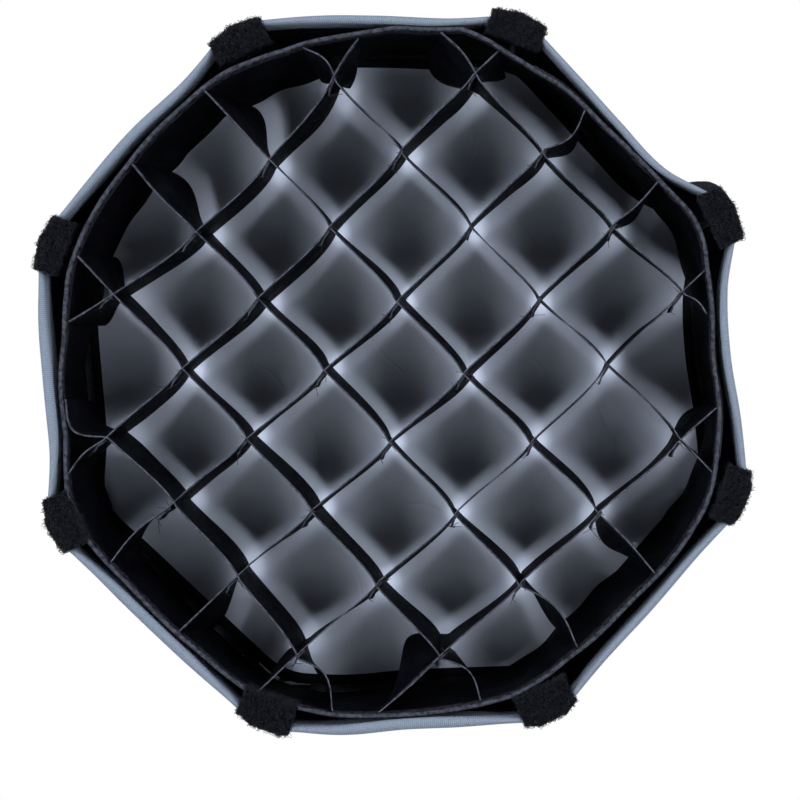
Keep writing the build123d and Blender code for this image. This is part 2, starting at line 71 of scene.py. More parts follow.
# ---- dimensions read from the frame, in mm
def depths_of(node):
    low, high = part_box(node)
    return -high.y / MM, -low.y / MM


def apothem_of(node):
    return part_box(node)[1].z / MM


def inner_profile(node):
    """Depths and apothems of the inner face of a piece on the top side."""
    mesh = frame["nodes"][node].data
    found = {}
    for face in mesh.polygons:
        if face.normal.z < -0.3 and abs(face.normal.x) < 0.2:
            for index in face.vertices:
                co = mesh.vertices[index].co
                found[round(-co.y / MM, 2)] = co.z / MM
    depths = sorted(found)
    return np.array(depths), np.array([found[d] for d in depths])


PROFILE_DEPTHS, PROFILE_APOTHEMS = inner_profile("shell_panel_1")
SHELL_BACK, SHELL_FRONT = depths_of("shell_panel_1")
SHELL_THICK = 0.8
LINING_END = 116.5
BINDING_BACK, BINDING_FRONT = depths_of("edge_binding")
LIP_BACK, LIP_FRONT = depths_of("lip_loop_tape")
DIFFUSER_BACK, DIFFUSER_FRONT = depths_of("front_diffuser")
DIFFUSER_SKIRT_FRONT = depths_of("diffuser_hook_tape")[1]
INNER_BACK = depths_of("inner_diffuser")[0]
INNER_APOTHEM = apothem_of("inner_diffuser")
COLLAR_BACK, COLLAR_FRONT = depths_of("rear_collar")
GRID_BACK, GRID_FRONT = depths_of("grid_border")
GRID_APOTHEM = apothem_of("grid_border")
RING_REACH = apothem_of("speed_ring")
POCKET_BACK, POCKET_FRONT = depths_of("corner_pocket_1")


# ---- octagon and fabric shapes, in mm and degrees
def sind(a):
    return np.sin(np.radians(a))


def cosd(a):
    return np.cos(np.radians(a))


def smooth(x, start, end):
    t = np.clip((x - start) / (end - start), 0.0, 1.0)
    return t * t * (3 - 2 * t)


def from_side(theta):
    """Angle from the middle of the side that theta lies on."""
    return (np.asarray(theta) + HALF) % STEP - HALF


def octagon(theta, apothem, rounding):
    """Reach of an octagon with rounded corners."""
    phi = from_side(theta)
    psi = HALF - np.abs(phi)
    centre = (apothem - rounding) / COS_HALF
    under = np.maximum(rounding**2 - (centre * sind(psi)) ** 2, 0)
    turn = HALF - np.degrees(np.arctan((apothem - rounding) * TAN_HALF / apothem))
    return np.where(psi < turn, centre * cosd(psi) + np.sqrt(under), apothem / cosd(phi))


def around(theta, values):
    """A smooth closed curve through values at equal angles, the first at the left end of the top side."""
    values = np.array(values, float)
    at = (np.asarray(theta) + HALF) % 360 / 360 * len(values)
    i = np.floor(at).astype(int) % len(values)
    t = at - np.floor(at)
    a, b, c, d = (values[(i + k) % len(values)] for k in (-1, 0, 1, 2))
    return b + 0.5 * t * (c - a + t * (2 * a - 5 * b + 4 * c - d + t * (3 * (b - c) + d - a)))


def ripple(theta, waves, seed):
    """A sum of a few whole waves round the axis, about -1 to 1."""
    rng = np.random.default_rng(seed)
    total = 0.0
    for wave in waves:
        total = total + np.sin(np.radians(np.asarray(theta) * wave) + rng.uniform(0, 6.28))
    return total / len(waves)


# How far the soft rim stands out (+) or is pulled in (-), at the corner before each side and at three places.
RIM_PULL = (
    (-0.5, 0.6, -0.7, -3.1),
    (-2.8, -5.2, -7.9, -9.7),
    (-2.0, -7.3, -7.1, -3.5),
    (-1.5, -1.5, -0.4, -0.1),
    (2.0, 2.0, 2.0, 3.8),
    (1.5, 0.9, 0.6, 0.1),
    (0.3, -3.2, -2.1, -1.0),
    (-1.8, -0.8, -0.3, -2.5),
)
# The same for the front edge of the grid's border.
BORDER_PULL = (
    (-3.5, 2.0, 5.5, 6.5),
    (-4.5, -1.5, -1.5, -3.0),
    (-4.0, -2.5, -2.0, -1.0),
    (-2.5, 2.5, 3.0, 1.5),
    (-0.5, 6.0, 8.5, 8.0),
    (3.0, 6.0, 6.5, 5.5),
    (2.5, 2.5, 3.0, 0.5),
    (-3.5, 2.0, 4.0, 2.5),
)
# How far the back edge of the border leans in from its front edge, all round.
BORDER_LEAN = (
    (14.0, 14.0, 9.0, 11.0),
    (6.0, 3.5, 7.0, 8.0),
    (11.0, 9.0, 5.0, 4.5),
    (9.0, 11.0, 12.0, 12.0),
    (10.0, 9.0, 10.0, 6.0),
    (4.0, 6.0, 7.5, 9.0),
    (12.0, 8.0, 5.0, 9.0),
    (12.0, 12.0, 13.0, 13.0),
)
RIM_ROUNDING = 8.0
RIM_PULL_FROM, RIM_PULL_FULL = 55, 150
PANEL_BOW = 2.2
PANEL_BOW_END = 118


def rim_pull(theta, depth):
    return around(theta, sum(RIM_PULL, ())) * smooth(depth, RIM_PULL_FROM, RIM_PULL_FULL)


def shell_reach(theta, depth, outward=0.0):
    """Reach of the shell's inner face: bowed as the rods, pulled in between them."""
    apothem = np.interp(depth, PROFILE_DEPTHS, PROFILE_APOTHEMS)
    middle = (1 + np.cos(np.radians(8 * from_side(theta)))) / 2
    share = np.clip((depth - SHELL_BACK) / (PANEL_BOW_END - SHELL_BACK), 0, 1)
    bow = PANEL_BOW * middle * np.sin(np.pi * share)
    return octagon(theta, apothem, RIM_ROUNDING) + rim_pull(theta, depth) - bow + outward


def lip_reach(theta, depth, offset):
    """Reach of a layer that lies offset inside the lip."""
    return shell_reach(theta, depth) - offset


def border_reach(theta, depth, inward=0.0):
    """Reach of the outer face of the grid's border, which leans in towards its back edge."""
    share = (depth - GRID_BACK) / (GRID_FRONT - GRID_BACK)
    base = octagon(theta, GRID_APOTHEM, 34.0) + around(theta, sum(BORDER_PULL, ()))
    lean = around(theta, sum(BORDER_LEAN, ())) * np.maximum(1 - share, 0) ** 1.2
    front_ripple = 0.7 * share * ripple(theta, (9, 17, 23), 4)
    back_ripple = 1.2 * (1 - share) * ripple(theta, (13, 22, 37), 6)
    free = base - lean + front_ripple + back_ripple
    room = lip_reach(theta, depth, 3.6) + 2.2 * smooth(depth, 158, 165)
    return np.minimum(free, room) - inward


def place(theta, reach, depth):
    """Points in mm from angle, reach and depth."""
    theta, reach, depth = np.broadcast_arrays(theta, reach, depth)
    return np.stack([reach * sind(theta), -depth, reach * cosd(theta)], axis=-1).astype(float)


def side_angles(count):
    """Angles once round the octagon, closer together near the corners."""
    t = np.linspace(-1, 1, count + 1)[:-1]
    phi = HALF * np.sign(t) * (1 - (1 - np.abs(t)) ** 1.7)
    return np.concatenate([phi + STEP * k for k in range(SIDES)])


def side_span(number, gap, count, reach=158.0):
    """Angles along one side that stop gap mm short of both corner planes."""
    end = HALF - math.degrees(math.asin(gap / reach))
    return STEP * (number - 1) + np.linspace(-end, end, count)


# ---- mesh and object helpers
def grid_faces(rows, columns, wrap_rows, wrap_columns):
    index = np.arange(rows * columns).reshape(rows, columns)
    if wrap_rows:
        index = np.concatenate([index, index[:1]], axis=0)
    if wrap_columns:
        index = np.concatenate([index, index[:, :1]], axis=1)
    return np.stack([index[:-1, :-1], index[:-1, 1:], index[1:, 1:], index[1:, :-1]], axis=-1).reshape(-1, 4)


def run_lengths(points, axis, wrap):
    """Distance along a grid of points, with one more entry where the grid wraps."""
    if wrap:
        points = np.concatenate([points, np.take(points, [0], axis=axis)], axis=axis)
    steps = np.linalg.norm(np.diff(points, axis=axis), axis=-1).mean(axis=1 - axis)
    return np.concatenate([[0], np.cumsum(steps)])


def new_object(name, verts, faces, materials, uv=None, slots=None, smooth_faces=True):
    """An object from points in mm, with cloth coordinates in mm in the UV map named flat."""
    mesh = bpy.data.meshes.new(name)
    faces = faces.tolist() if isinstance(faces, np.ndarray) else faces
    mesh.from_pydata((np.asarray(verts) * MM).tolist(), [], faces)
    for material in materials:
        mesh.materials.append(material)
    if slots is not None:
        mesh.polygons.foreach_set("material_index", np.asarray(slots, np.int32))
    if uv is not None:
        layer = mesh.uv_layers.new(name="flat")
        layer.data.foreach_set("uv", np.asarray(uv, np.float32).ravel())
    mesh.polygons.foreach_set("use_smooth", np.full(len(mesh.polygons), smooth_faces))
    mesh.update()
    obj = bpy.data.objects.new(name, mesh)
    bpy.context.scene.collection.objects.link(obj)
    return obj


def cloth(name, points, materials, wrap_rows=False, wrap_columns=False, row_slots=None):
    """An object from a grid of points [rows, columns]: columns run along the cloth and rows across it."""
    rows, columns = points.shape[:2]
    faces = grid_faces(rows, columns, wrap_rows, wrap_columns)
    along = run_lengths(points, 1, wrap_columns)
    across = run_lengths(points, 0, wrap_rows)
    v, u = np.meshgrid(across, along, indexing="ij")
    coords = np.stack([u, v], axis=-1)
    uv = np.stack([coords[:-1, :-1], coords[:-1, 1:], coords[1:, 1:], coords[1:, :-1]], axis=2)
    slots = None
    if row_slots is not None:
        slots = np.repeat(np.asarray(row_slots), len(along) - 1)
    return new_object(name, points.reshape(-1, 3), faces, materials, uv.reshape(-1, 2), slots)


def thicken(obj, thickness, offset=0.0, even=True):
    """Gives a sheet its thickness in mm; offset 1 grows along the normals and -1 against them."""
    solid = obj.modifiers.new("thickness", "SOLIDIFY")
    solid.thickness = thickness * MM
    solid.offset = offset
    solid.use_even_offset = even
    return obj


def joined(name, parts):
    """One object from several that share their materials."""
    bpy.ops.object.select_all(action="DESELECT")
    for part in parts:
        part.select_set(True)
    bpy.context.view_layer.objects.active = parts[0]
    bpy.ops.object.join()
    parts[0].name = name
    parts[0].data.name = name
    return parts[0]


def fibres(name, paths, radius, material):
    """Thin three-sided threads along paths [threads, points, 3] in mm."""
    threads, points = paths.shape[:2]
    ahead = np.gradient(paths, axis=1)
    ahead /= np.linalg.norm(ahead, axis=-1, keepdims=True) + 1e-9
    up = np.where(np.abs(ahead[..., 1:2]) < 0.8, [0.0, 1.0, 0.0], [1.0, 0.0, 0.0])
    across = np.cross(ahead, up)
    across /= np.linalg.norm(across, axis=-1, keepdims=True) + 1e-9
    above = np.cross(across, ahead)
    corners = []
    for k in range(3):
        corners.append(paths + radius * (across * math.cos(2.094 * k) + above * math.sin(2.094 * k)))
    verts = np.stack(corners, axis=2).reshape(-1, 3)
    base = np.arange(threads)[:, None, None] * points * 3 + np.arange(points - 1)[None, :, None] * 3
    k = np.arange(3)[None, None, :]
    following = (k + 1) % 3
    faces = np.stack([base + k, base + following, base + 3 + following, base + 3 + k], axis=-1).reshape(-1, 4)
    return new_object(name, verts, faces, [material])


def loops_on(points, normals, height, width, rng, segments=5):
    """Paths of small yarn loops that stand on a surface."""
    count = len(points)
    random = rng.normal(size=(count, 3))
    side = np.cross(normals, random)
    side /= np.linalg.norm(side, axis=1, keepdims=True) + 1e-9
    lean = np.cross(normals, side) * rng.uniform(-0.8, 0.8, (count, 1))
    tall = height * rng.uniform(0.5, 1.25, (count, 1))
    wide = width * rng.uniform(0.6, 1.3, (count, 1))
    steps = np.linspace(0, math.pi, segments)
    foot = points - 0.15 * normals
    path = [foot + side * wide * -math.cos(a) + (normals + lean) * tall * math.sin(a) for a in steps]
    return np.stack(path, axis=1)


def sample_grid(points, count, rng, flip=1.0):
    """Random places on a grid of points, and the surface normal there."""
    rows, columns = points.shape[:2]
    r = rng.uniform(0, rows - 1.001, count)
    c = rng.uniform(0, columns - 1.001, count)
    i, j = r.astype(int), c.astype(int)
    fr, fc = (r - i)[:, None], (c - j)[:, None]
    a, b = points[i, j], points[i, j + 1]
    d, e = points[i + 1, j], points[i + 1, j + 1]
    at = (a * (1 - fc) + b * fc) * (1 - fr) + (d * (1 - fc) + e * fc) * fr
    normal = np.cross(b - a, d - a)
    normal /= np.linalg.norm(normal, axis=1, keepdims=True) + 1e-9
    return at, normal * flip


def settle(obj, body, replaces=()):
    """Makes a finished piece ride on its body and stand for its CAD nodes."""
    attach(obj, body)
    if replaces:
        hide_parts(*replaces)


# ---- materials
class NodeTree:
    """Short ways to add nodes to a node tree."""

    def link(self, source, target):
        self.tree.links.new(source, target)

    def math(self, operation, *values):
        node = self.tree.nodes.new("ShaderNodeMath")
        node.operation = operation
        for socket, value in zip(node.inputs, values):
            if isinstance(value, (int, float)):
                socket.default_value = value
            else:
                self.link(value, socket)
        return node.outputs[0]


class Look(NodeTree):
    """A Principled material."""

    def __init__(self, name, colour, roughness, **sockets):
        self.material = bpy.data.materials.new(name)
        self.material.use_nodes = True
        self.tree = self.material.node_tree
        self.shader = self.tree.nodes["Principled BSDF"]
        self.shader.inputs["Base Color"].default_value = (*colour, 1.0)
        self.shader.inputs["Roughness"].default_value = roughness
        for socket, value in sockets.items():
            self.shader.inputs[socket.replace("_", " ")].default_value = value
        self.height = None

    def node(self, kind, **values):
        node = self.tree.nodes.new(kind)
        for key, value in values.items():
            if hasattr(node, key):
                setattr(node, key, value)
            else:
                node.inputs[key].default_value = value
        return node

    def cloth_axes(self):
        """Cloth coordinates in mm: along and across."""
        coords = self.node("ShaderNodeUVMap", uv_map="flat")
        split = self.node("ShaderNodeSeparateXYZ")
        self.link(coords.outputs[0], split.inputs[0])
        return split.outputs[0], split.outputs[1]

    def object_coords(self):
        return self.node("ShaderNodeTexCoord").outputs["Object"]

    def noise(self, size, detail=3.0, rough=0.55, stretch=None):
        """Noise whose features are about size mm, in object space."""
        coords = self.object_coords()
        if stretch:
            scaled = self.node("ShaderNodeVectorMath", operation="MULTIPLY")
            scaled.inputs[1].default_value = stretch
            self.link(coords, scaled.inputs[0])
            coords = scaled.outputs[0]
        noise = self.node("ShaderNodeTexNoise", Scale=1 / (size * MM), Detail=detail, Roughness=rough)
        self.link(coords, noise.inputs["Vector"])
        return noise.outputs["Fac"]

    def cells(self, size, feature="F1"):
        noise = self.node("ShaderNodeTexVoronoi", feature=feature, Scale=1 / (size * MM))
        self.link(self.object_coords(), noise.inputs["Vector"])
        return noise.outputs["Distance"]

    def wave(self, axis, pitch):
        """A ridge every pitch mm along a cloth axis, from 0 to 1."""
        turn = self.math("MULTIPLY", axis, 2 * math.pi / pitch)
        return self.math("MULTIPLY_ADD", self.math("SINE", turn), 0.5, 0.5)

    def weave(self, pitch, depth):
        """Plain weave: warp and weft ridges that take turns on top."""
        along, across = self.cloth_axes()
        turn_a = self.math("MULTIPLY", along, math.pi / pitch)
        turn_b = self.math("MULTIPLY", across, math.pi / pitch)
        over = self.math("MULTIPLY", self.math("SINE", turn_a), self.math("SINE", turn_b))
        self.add_height(self.math("ABSOLUTE", over), depth)
        return over

    def add_height(self, value, depth):
        """Adds a height in mm to the surface's bump."""
        scaled = self.math("MULTIPLY", value, depth * MM)
        self.height = scaled if self.height is None else self.math("ADD", self.height, scaled)

    def between(self, factor, low, high, start=0.0, end=1.0):
        """A colour or a number that goes from low to high as factor goes from start to end."""
        ramp = self.node("ShaderNodeMapRange", clamp=True)
        ramp.inputs["From Min"].default_value = start
        ramp.inputs["From Max"].default_value = end
        self.link(factor, ramp.inputs["Value"])
        if isinstance(low, (int, float)):
            ramp.inputs["To Min"].default_value = low
            ramp.inputs["To Max"].default_value = high
            return ramp.outputs[0]
        mix = self.node("ShaderNodeMix", data_type="RGBA")
        self.set_colour(mix, low, high)
        self.link(ramp.outputs[0], mix.inputs[0])
        return mix.outputs[2]

    def set_colour(self, mix, low, high):
        for socket, colour in ((mix.inputs[6], low), (mix.inputs[7], high)):
            if isinstance(colour, tuple):
                socket.default_value = (*colour, 1.0)
            else:
                self.link(colour, socket)

    def colour(self, source):
        self.link(source, self.shader.inputs["Base Color"])

    def roughness(self, source):
        self.link(source, self.shader.inputs["Roughness"])

    def mottle(self, size, low, high, end=0.65, start=0.35):
        """Colours the surface from low to high in patches about size mm."""
        self.colour(self.between(self.noise(size), low, high, start, end))

    def wear(self, size, low, high):
        """Varies the roughness from low to high in patches about size mm."""
        self.roughness(self.between(self.noise(size), low, high, 0.3, 0.7))

    def done(self, strength=1.0):
        if self.height is not None:
            bump = self.node("ShaderNodeBump", Strength=strength, Distance=1.0)
            self.link(self.height, bump.inputs["Height"])
            self.link(bump.outputs[0], self.shader.inputs["Normal"])
        return self.material


def coated_nylon():
    look = Look("coated_nylon", (0.005, 0.005, 0.006), 0.6, Specular_IOR_Level=0.12)
    look.weave(0.45, 0.05)
    look.add_height(look.noise(9.0), 0.35)
    look.mottle(30.0, (0.004, 0.004, 0.005), (0.008, 0.008, 0.010), 0.7)
    look.wear(4.0, 0.52, 0.70)
    return look.done()


def silver_lining():
    look = Look("silver_lining", (0.75, 0.76, 0.78), 0.32, Metallic=0.9)
    look.add_height(look.cells(1.3), 0.12)
    look.add_height(look.noise(14.0), 0.5)
    look.mottle(20.0, (0.68, 0.69, 0.72), (0.82, 0.83, 0.85), 0.7)
    look.wear(3.0, 0.24, 0.42)
    return look.done()


def grosgrain():
    """Ribbed ribbon with a dull, uneven fibre and painted shade in the grooves between its ribs."""
    look = Look("grosgrain", (0.17, 0.19, 0.22), 0.7, Specular_IOR_Level=0.3)
    along, _ = look.cloth_axes()
    ribs = look.wave(along, 0.85)
    look.add_height(ribs, 0.10)
    fibre = look.noise(0.7)
    # Painted shade: the rib grooves are coloured darker than the rib tops, in step with the bump.
    shade = look.between(ribs, (0.135, 0.157, 0.185), (0.195, 0.22, 0.25))
    dull = look.node("ShaderNodeMix", data_type="RGBA", blend_type="MULTIPLY")
    dull.inputs[0].default_value = 0.5
    look.link(shade, dull.inputs[6])
    look.link(look.between(fibre, (0.75, 0.76, 0.78), (1.0, 1.0, 1.0), 0.3, 0.7), dull.inputs[7])
    look.colour(dull.outputs[2])
    look.roughness(look.between(fibre, 0.55, 0.75, 0.3, 0.7))
    return look.done()


def loop_pile():
    look = Look("loop_pile", (0.004, 0.004, 0.005), 0.9, Specular_IOR_Level=0.05)
    look.add_height(look.cells(0.9), 0.6)
    look.add_height(look.noise(0.5), 0.35)
    look.mottle(0.6, (0.001, 0.001, 0.002), (0.005, 0.005, 0.006), 0.7, 0.3)
    return look.done()


def yarn():
    look = Look("yarn", (0.012, 0.012, 0.014), 0.6, Specular_IOR_Level=0.15)
    look.mottle(1.5, (0.003, 0.003, 0.004), (0.020, 0.020, 0.026), 0.75)
    look.wear(2.0, 0.4, 0.7)
    return look.done()


def hook_plastic():
    look = Look("hook_plastic", (0.02, 0.02, 0.022), 0.3, Specular_IOR_Level=0.3)
    look.add_height(look.noise(0.4), 0.06)
    look.mottle(3.0, (0.012, 0.012, 0.014), (0.035, 0.035, 0.040))
    look.wear(1.0, 0.22, 0.42)
    return look.done()


def grid_nylon():
    """Thin nylon whose front edge and hem carry a painted highlight, broken up as if frayed, marked by the
    attribute edge.
    """
    look = Look("grid_nylon", (0.003, 0.003, 0.004), 0.5, Specular_IOR_Level=0.02)
    look.weave(0.38, 0.03)
    look.add_height(look.noise(5.0), 0.12)
    look.add_height(look.noise(17.0, detail=1.0), 1.6)
    body = look.between(look.noise(11.0), (0.001, 0.001, 0.002), (0.003, 0.003, 0.004), 0.35, 0.65)
    edge = look.node("ShaderNodeAttribute", attribute_name="edge").outputs["Fac"]
    # Painted highlight: the marked edge is coloured paler, broken up by noise as if frayed.
    frayed_edge_highlight = look.math("MULTIPLY", edge, look.between(look.noise(1.7), 0.55, 1.0, 0.35, 0.6))
    look.colour(look.between(frayed_edge_highlight, body, (0.075, 0.077, 0.090), 0.35, 1.0))
    look.wear(2.5, 0.46, 0.66)
    return look.done()


def satin():
    """White diffuser cloth, lightly creased from folding."""
    look = Look("satin", (0.78, 0.80, 0.88), 0.5, Sheen_Weight=0.1, Sheen_Roughness=0.3)
    look.weave(0.3, 0.012)
    look.add_height(look.noise(26.0, detail=1.0, stretch=(1.0, 1.0, 0.35)), 1.2)
    fold = look.math("ABSOLUTE", look.math("SUBTRACT", look.noise(60.0, detail=1.0), 0.5))
    look.add_height(look.between(fold, 1.0, 0.0, 0.0, 0.012), 0.12)
    look.mottle(35.0, (0.74, 0.77, 0.86), (0.82, 0.85, 0.93))
    look.wear(6.0, 0.42, 0.58)
    return look.done()


def elastic():
    look = Look("elastic", (0.006, 0.006, 0.007), 0.7, Specular_IOR_Level=0.3)
    along, across = look.cloth_axes()
    look.add_height(look.wave(along, 1.1), 0.14)
    look.add_height(look.wave(across, 0.8), 0.10)
    # Painted shade: the grooves between the ribs are coloured darker than the rib tops.
    look.colour(look.between(look.wave(along, 1.1), (0.004, 0.004, 0.005), (0.012, 0.012, 0.014)))
    look.wear(3.0, 0.6, 0.8)
    return look.done()


def anodised():
    """Black anodised aluminium, faced on a lathe."""
    look = Look("anodised", (0.035, 0.035, 0.038), 0.38, Metallic=0.75)
    split = look.node("ShaderNodeSeparateXYZ")
    look.link(look.object_coords(), split.inputs[0])
    x, y, z = split.outputs
    reach = look.math("SQRT", look.math("ADD", look.math("MULTIPLY", x, x), look.math("MULTIPLY", z, z)))
    turned = look.math("SINE", look.math("MULTIPLY", look.math("ADD", reach, y), 2 * math.pi / (0.35 * MM)))
    look.add_height(turned, 0.004)
    look.mottle(12.0, (0.028, 0.028, 0.031), (0.048, 0.048, 0.052))
    look.wear(5.0, 0.30, 0.46)
    return look.done()


def steel(name, colour, rough):
    look = Look(name, colour, rough, Metallic=1.0)
    look.add_height(look.noise(1.2), 0.02)
    shade = tuple(0.8 * c for c in colour)
    look.mottle(7.0, shade, colour)
    look.wear(2.0, rough * 0.8, rough * 1.3)
    return look.done()


def moulded(name, colour, rough, grain):
    look = Look(name, colour, rough)
    look.add_height(look.noise(grain), 0.03)
    light = tuple(min(1.0, 1.35 * c) for c in colour)
    look.mottle(9.0, colour, light)
    look.wear(3.0, rough * 0.85, min(1.0, rough * 1.15))
    return look.done()


def floor_paint():
    look = Look("floor_paint", (0.78, 0.78, 0.77), 0.7)
    look.mottle(240.0, (0.76, 0.76, 0.75), (0.80, 0.80, 0.79), 0.7, 0.3)
    return look.done()


NYLON = coated_nylon()
SILVER = silver_lining()
RIBBON = grosgrain()
PILE = loop_pile()
YARN = yarn()
HOOKS = hook_plastic()
GRID_CLOTH = grid_nylon()
SATIN = satin()
ELASTIC = elastic()
ANODISED = anodised()
SPRING_STEEL = steel("spring_steel", (0.11, 0.11, 0.115), 0.36)
SCREW_STEEL = steel("screw_steel", (0.30, 0.30, 0.31), 0.35)
SOCKET_PLASTIC = moulded("socket_plastic", (0.022, 0.022, 0.024), 0.5, 0.6)
RUBBER = moulded("rubber", (0.018, 0.018, 0.019), 0.85, 0.4)
KNOB_PLASTIC = moulded("knob_plastic", (0.020, 0.020, 0.022), 0.42, 0.5)
WASHER_PLASTIC = moulded("washer_plastic", (0.55, 0.54, 0.50), 0.45, 0.7)


# ---- CAD nodes that stay, with their materials
def dress_frame():
    looks = {
        "mount_adapter": ANODISED,
        "retainer_ring": ANODISED,
        "speed_ring": ANODISED,
        "glide_washer": WASHER_PLASTIC,
        "lock_pad": WASHER_PLASTIC,
        "retainer_screws": SCREW_STEEL,
        "socket_screws": SCREW_STEEL,
        "lock_stud": SPRING_STEEL,
        "lock_knob": KNOB_PLASTIC,
    }
    for number in range(1, SIDES + 1):
        looks[f"rod_{number}"] = SPRING_STEEL
        looks[f"rod_tip_{number}"] = RUBBER
        looks[f"rod_socket_{number}"] = SOCKET_PLASTIC
    for node, material in looks.items():
        mesh = frame["nodes"][node].data
        mesh.materials.clear()
        mesh.materials.append(material)


# ---- shell
def seam_ridge(theta, reach):
    """Height of the lapped seam over each rod, in mm."""
    psi = HALF - np.abs(from_side(theta))
    across = reach * np.radians(psi)
    return 0.7 * (1 - smooth(across, 3.0, 4.2)) - 0.25 * (1 - smooth(across, 0.0, 0.6))


def shell():
    """The shell as one closed skin: silver inside up to the lip, black elsewhere, seamed over the rods."""
    theta = side_angles(26)[None, :]
    lined = np.linspace(SHELL_BACK, LINING_END - 0.7, 26)
    bare = np.linspace(LINING_END + 0.5, SHELL_FRONT + 0.6, 20)
    depth = np.concatenate([lined, bare])[:, None]
    crumple = 0.35 * ripple(theta + 0.25 * depth, (11, 19, 31), 1) * smooth(depth, 60, 140)
    inner = place(theta, shell_reach(theta, depth) + crumple, depth)
    outer_reach = shell_reach(theta, depth, SHELL_THICK) + crumple
    outer = place(theta, outer_reach + seam_ridge(theta, outer_reach), depth)
    points = np.concatenate([inner, outer[::-1]], axis=0)
    middle = (depth[1:, 0] + depth[:-1, 0]) / 2
    inside_slots = [1 if d < LINING_END else 0 for d in middle]
    slots = inside_slots + [0] + [0] * len(inside_slots) + [0]
    obj = cloth("shell", points, [NYLON, SILVER], wrap_rows=True, wrap_columns=True, row_slots=slots)
    settle(obj, "softbox", [f"shell_panel_{n}" for n in range(1, SIDES + 1)])


def seam_stitches():
    """Two rows of topstitching beside each rod seam."""
    paths = []
    for corner in range(1, SIDES + 1):
        middle = STEP * corner - HALF
        for side in (-1, 1):
            for depth in np.arange(34.0, 144.0, 3.2):
                ends = np.array([depth, depth + 0.8, depth + 1.6, depth + 2.3])
                reach = shell_reach(middle, ends, SHELL_THICK)
                theta = middle + side * np.degrees(2.4 / reach)
                lift = np.array([0.62, 0.86, 0.86, 0.62])
                paths.append(place(theta, shell_reach(theta, ends, SHELL_THICK) + lift, ends))
    obj = fibres("seam_stitches", np.array(paths), 0.16, YARN)
    settle(obj, "softbox")


def rear_collar():
    """Gathered elastic from the shell's octagonal back edge to the round speed ring."""
    theta = np.linspace(0, 360, 480, endpoint=False)[None, :]
    depth = np.linspace(COLLAR_BACK, COLLAR_FRONT + 1.5, 12)[:, None]
    share = (depth - COLLAR_BACK) / (COLLAR_FRONT - COLLAR_BACK)
    round_end = RING_REACH + 0.5
    octagon_end = shell_reach(theta, SHELL_BACK) + 0.2
    swell = smooth(share, 0.25, 1.0)
    gathers = 0.35 * np.sin(np.radians(theta * 72)) * (1 - smooth(share, 0.5, 1.0)) * smooth(share, 0.05, 0.3)
    inner = place(theta, round_end + (octagon_end - round_end) * swell + gathers, depth)
    outer = place(theta, round_end + (octagon_end - round_end) * swell + gathers + 1.0, depth)
    points = np.concatenate([inner, outer[::-1]], axis=0)
    obj = cloth("rear_collar_elastic", points, [ELASTIC], wrap_rows=True, wrap_columns=True)
    settle(obj, "softbox", ["rear_collar"])


# ---- rim
# Where the ribbon and the tapes stop short of each corner plane.
RIBBON_GAP, TAPE_GAP, HOOK_GAP = 11.5, 13.5, 14.5
# Half thickness in mm of the folded ribbon at the middle of each side.
RIBBON_FULLNESS = (1.9, 1.7, 1.8, 1.7, 2.6, 2.5, 2.4, 2.2)


def ribbon_section(theta, side, inward):
    """Rows across one face of the ribbon: up the outside, over the rim and back inside."""
    phi = np.abs(from_side(theta))
    fullness = 1.45 + (RIBBON_FULLNESS[side - 1] - 1.45) * (1 - smooth(phi, 6, 18))
    half = fullness - inward
    wander = 0.45 * ripple(theta, (13, 27, 41), 20 + side)
    rows = []
    for depth in np.linspace(BINDING_BACK, BINDING_FRONT - 3.0, 6):
        middle = shell_reach(theta, depth, SHELL_THICK / 2)
        rows.append(place(theta, middle + half * 0.9, depth + wander * 0.3))
    for turn in np.linspace(90, -90, 9)[1:-1]:
        reach = shell_reach(theta, BINDING_FRONT, SHELL_THICK / 2) + half * sind(turn)
        rows.append(place(theta, reach, BINDING_FRONT - 2.6 + (2.6 - inward) * cosd(turn) + wander * 0.5))
    for depth in np.linspace(BINDING_FRONT - 3.0, BINDING_BACK, 6):
        middle = shell_reach(theta, depth, SHELL_THICK / 2)
        rows.append(place(theta, middle - half * 0.9, depth - wander * 0.3))
    return np.array(rows)


def edge_binding():
    for side in range(1, SIDES + 1):
        theta = side_span(side, RIBBON_GAP, 60)
        outer = ribbon_section(theta, side, 0.0)
        inner = ribbon_section(theta, side, 0.75)
        obj = band(f"binding_{side}", outer, inner, RIBBON)
        settle(obj, "softbox", ["edge_binding"])


def band(name, face, back, material):
    """A closed strip of cloth between two faces of the same rows and columns."""
    obj = cloth(name, np.concatenate([face, back[::-1]], axis=0), [material], wrap_rows=True)
    cap_ends(obj, 2 * len(face), face.shape[1])
    return obj


def cap_ends(obj, rows, columns):
    """Closes both ends of a piece whose cross-section is a closed row loop of two equal faces."""
    mesh = obj.data
    half = rows // 2
    extra = []
    for column in (0, columns - 1):
        for row in range(half - 1):
            a, b = row * columns + column, (row + 1) * columns + column
            c, d = (rows - 2 - row) * columns + column, (rows - 1 - row) * columns + column
            extra.append([a, b, c, d] if column == 0 else [d, c, b, a])
    start = len(mesh.polygons)
    loops = len(mesh.loops)
    mesh.polygons.add(len(extra))
    mesh.loops.add(4 * len(extra))
    for k, face in enumerate(extra):
        mesh.polygons[start + k].loop_start = loops + 4 * k
        for m, vertex in enumerate(face):
            mesh.loops[loops + 4 * k + m].vertex_index = vertex
    mesh.update(calc_edges=True)
    mesh.validate()


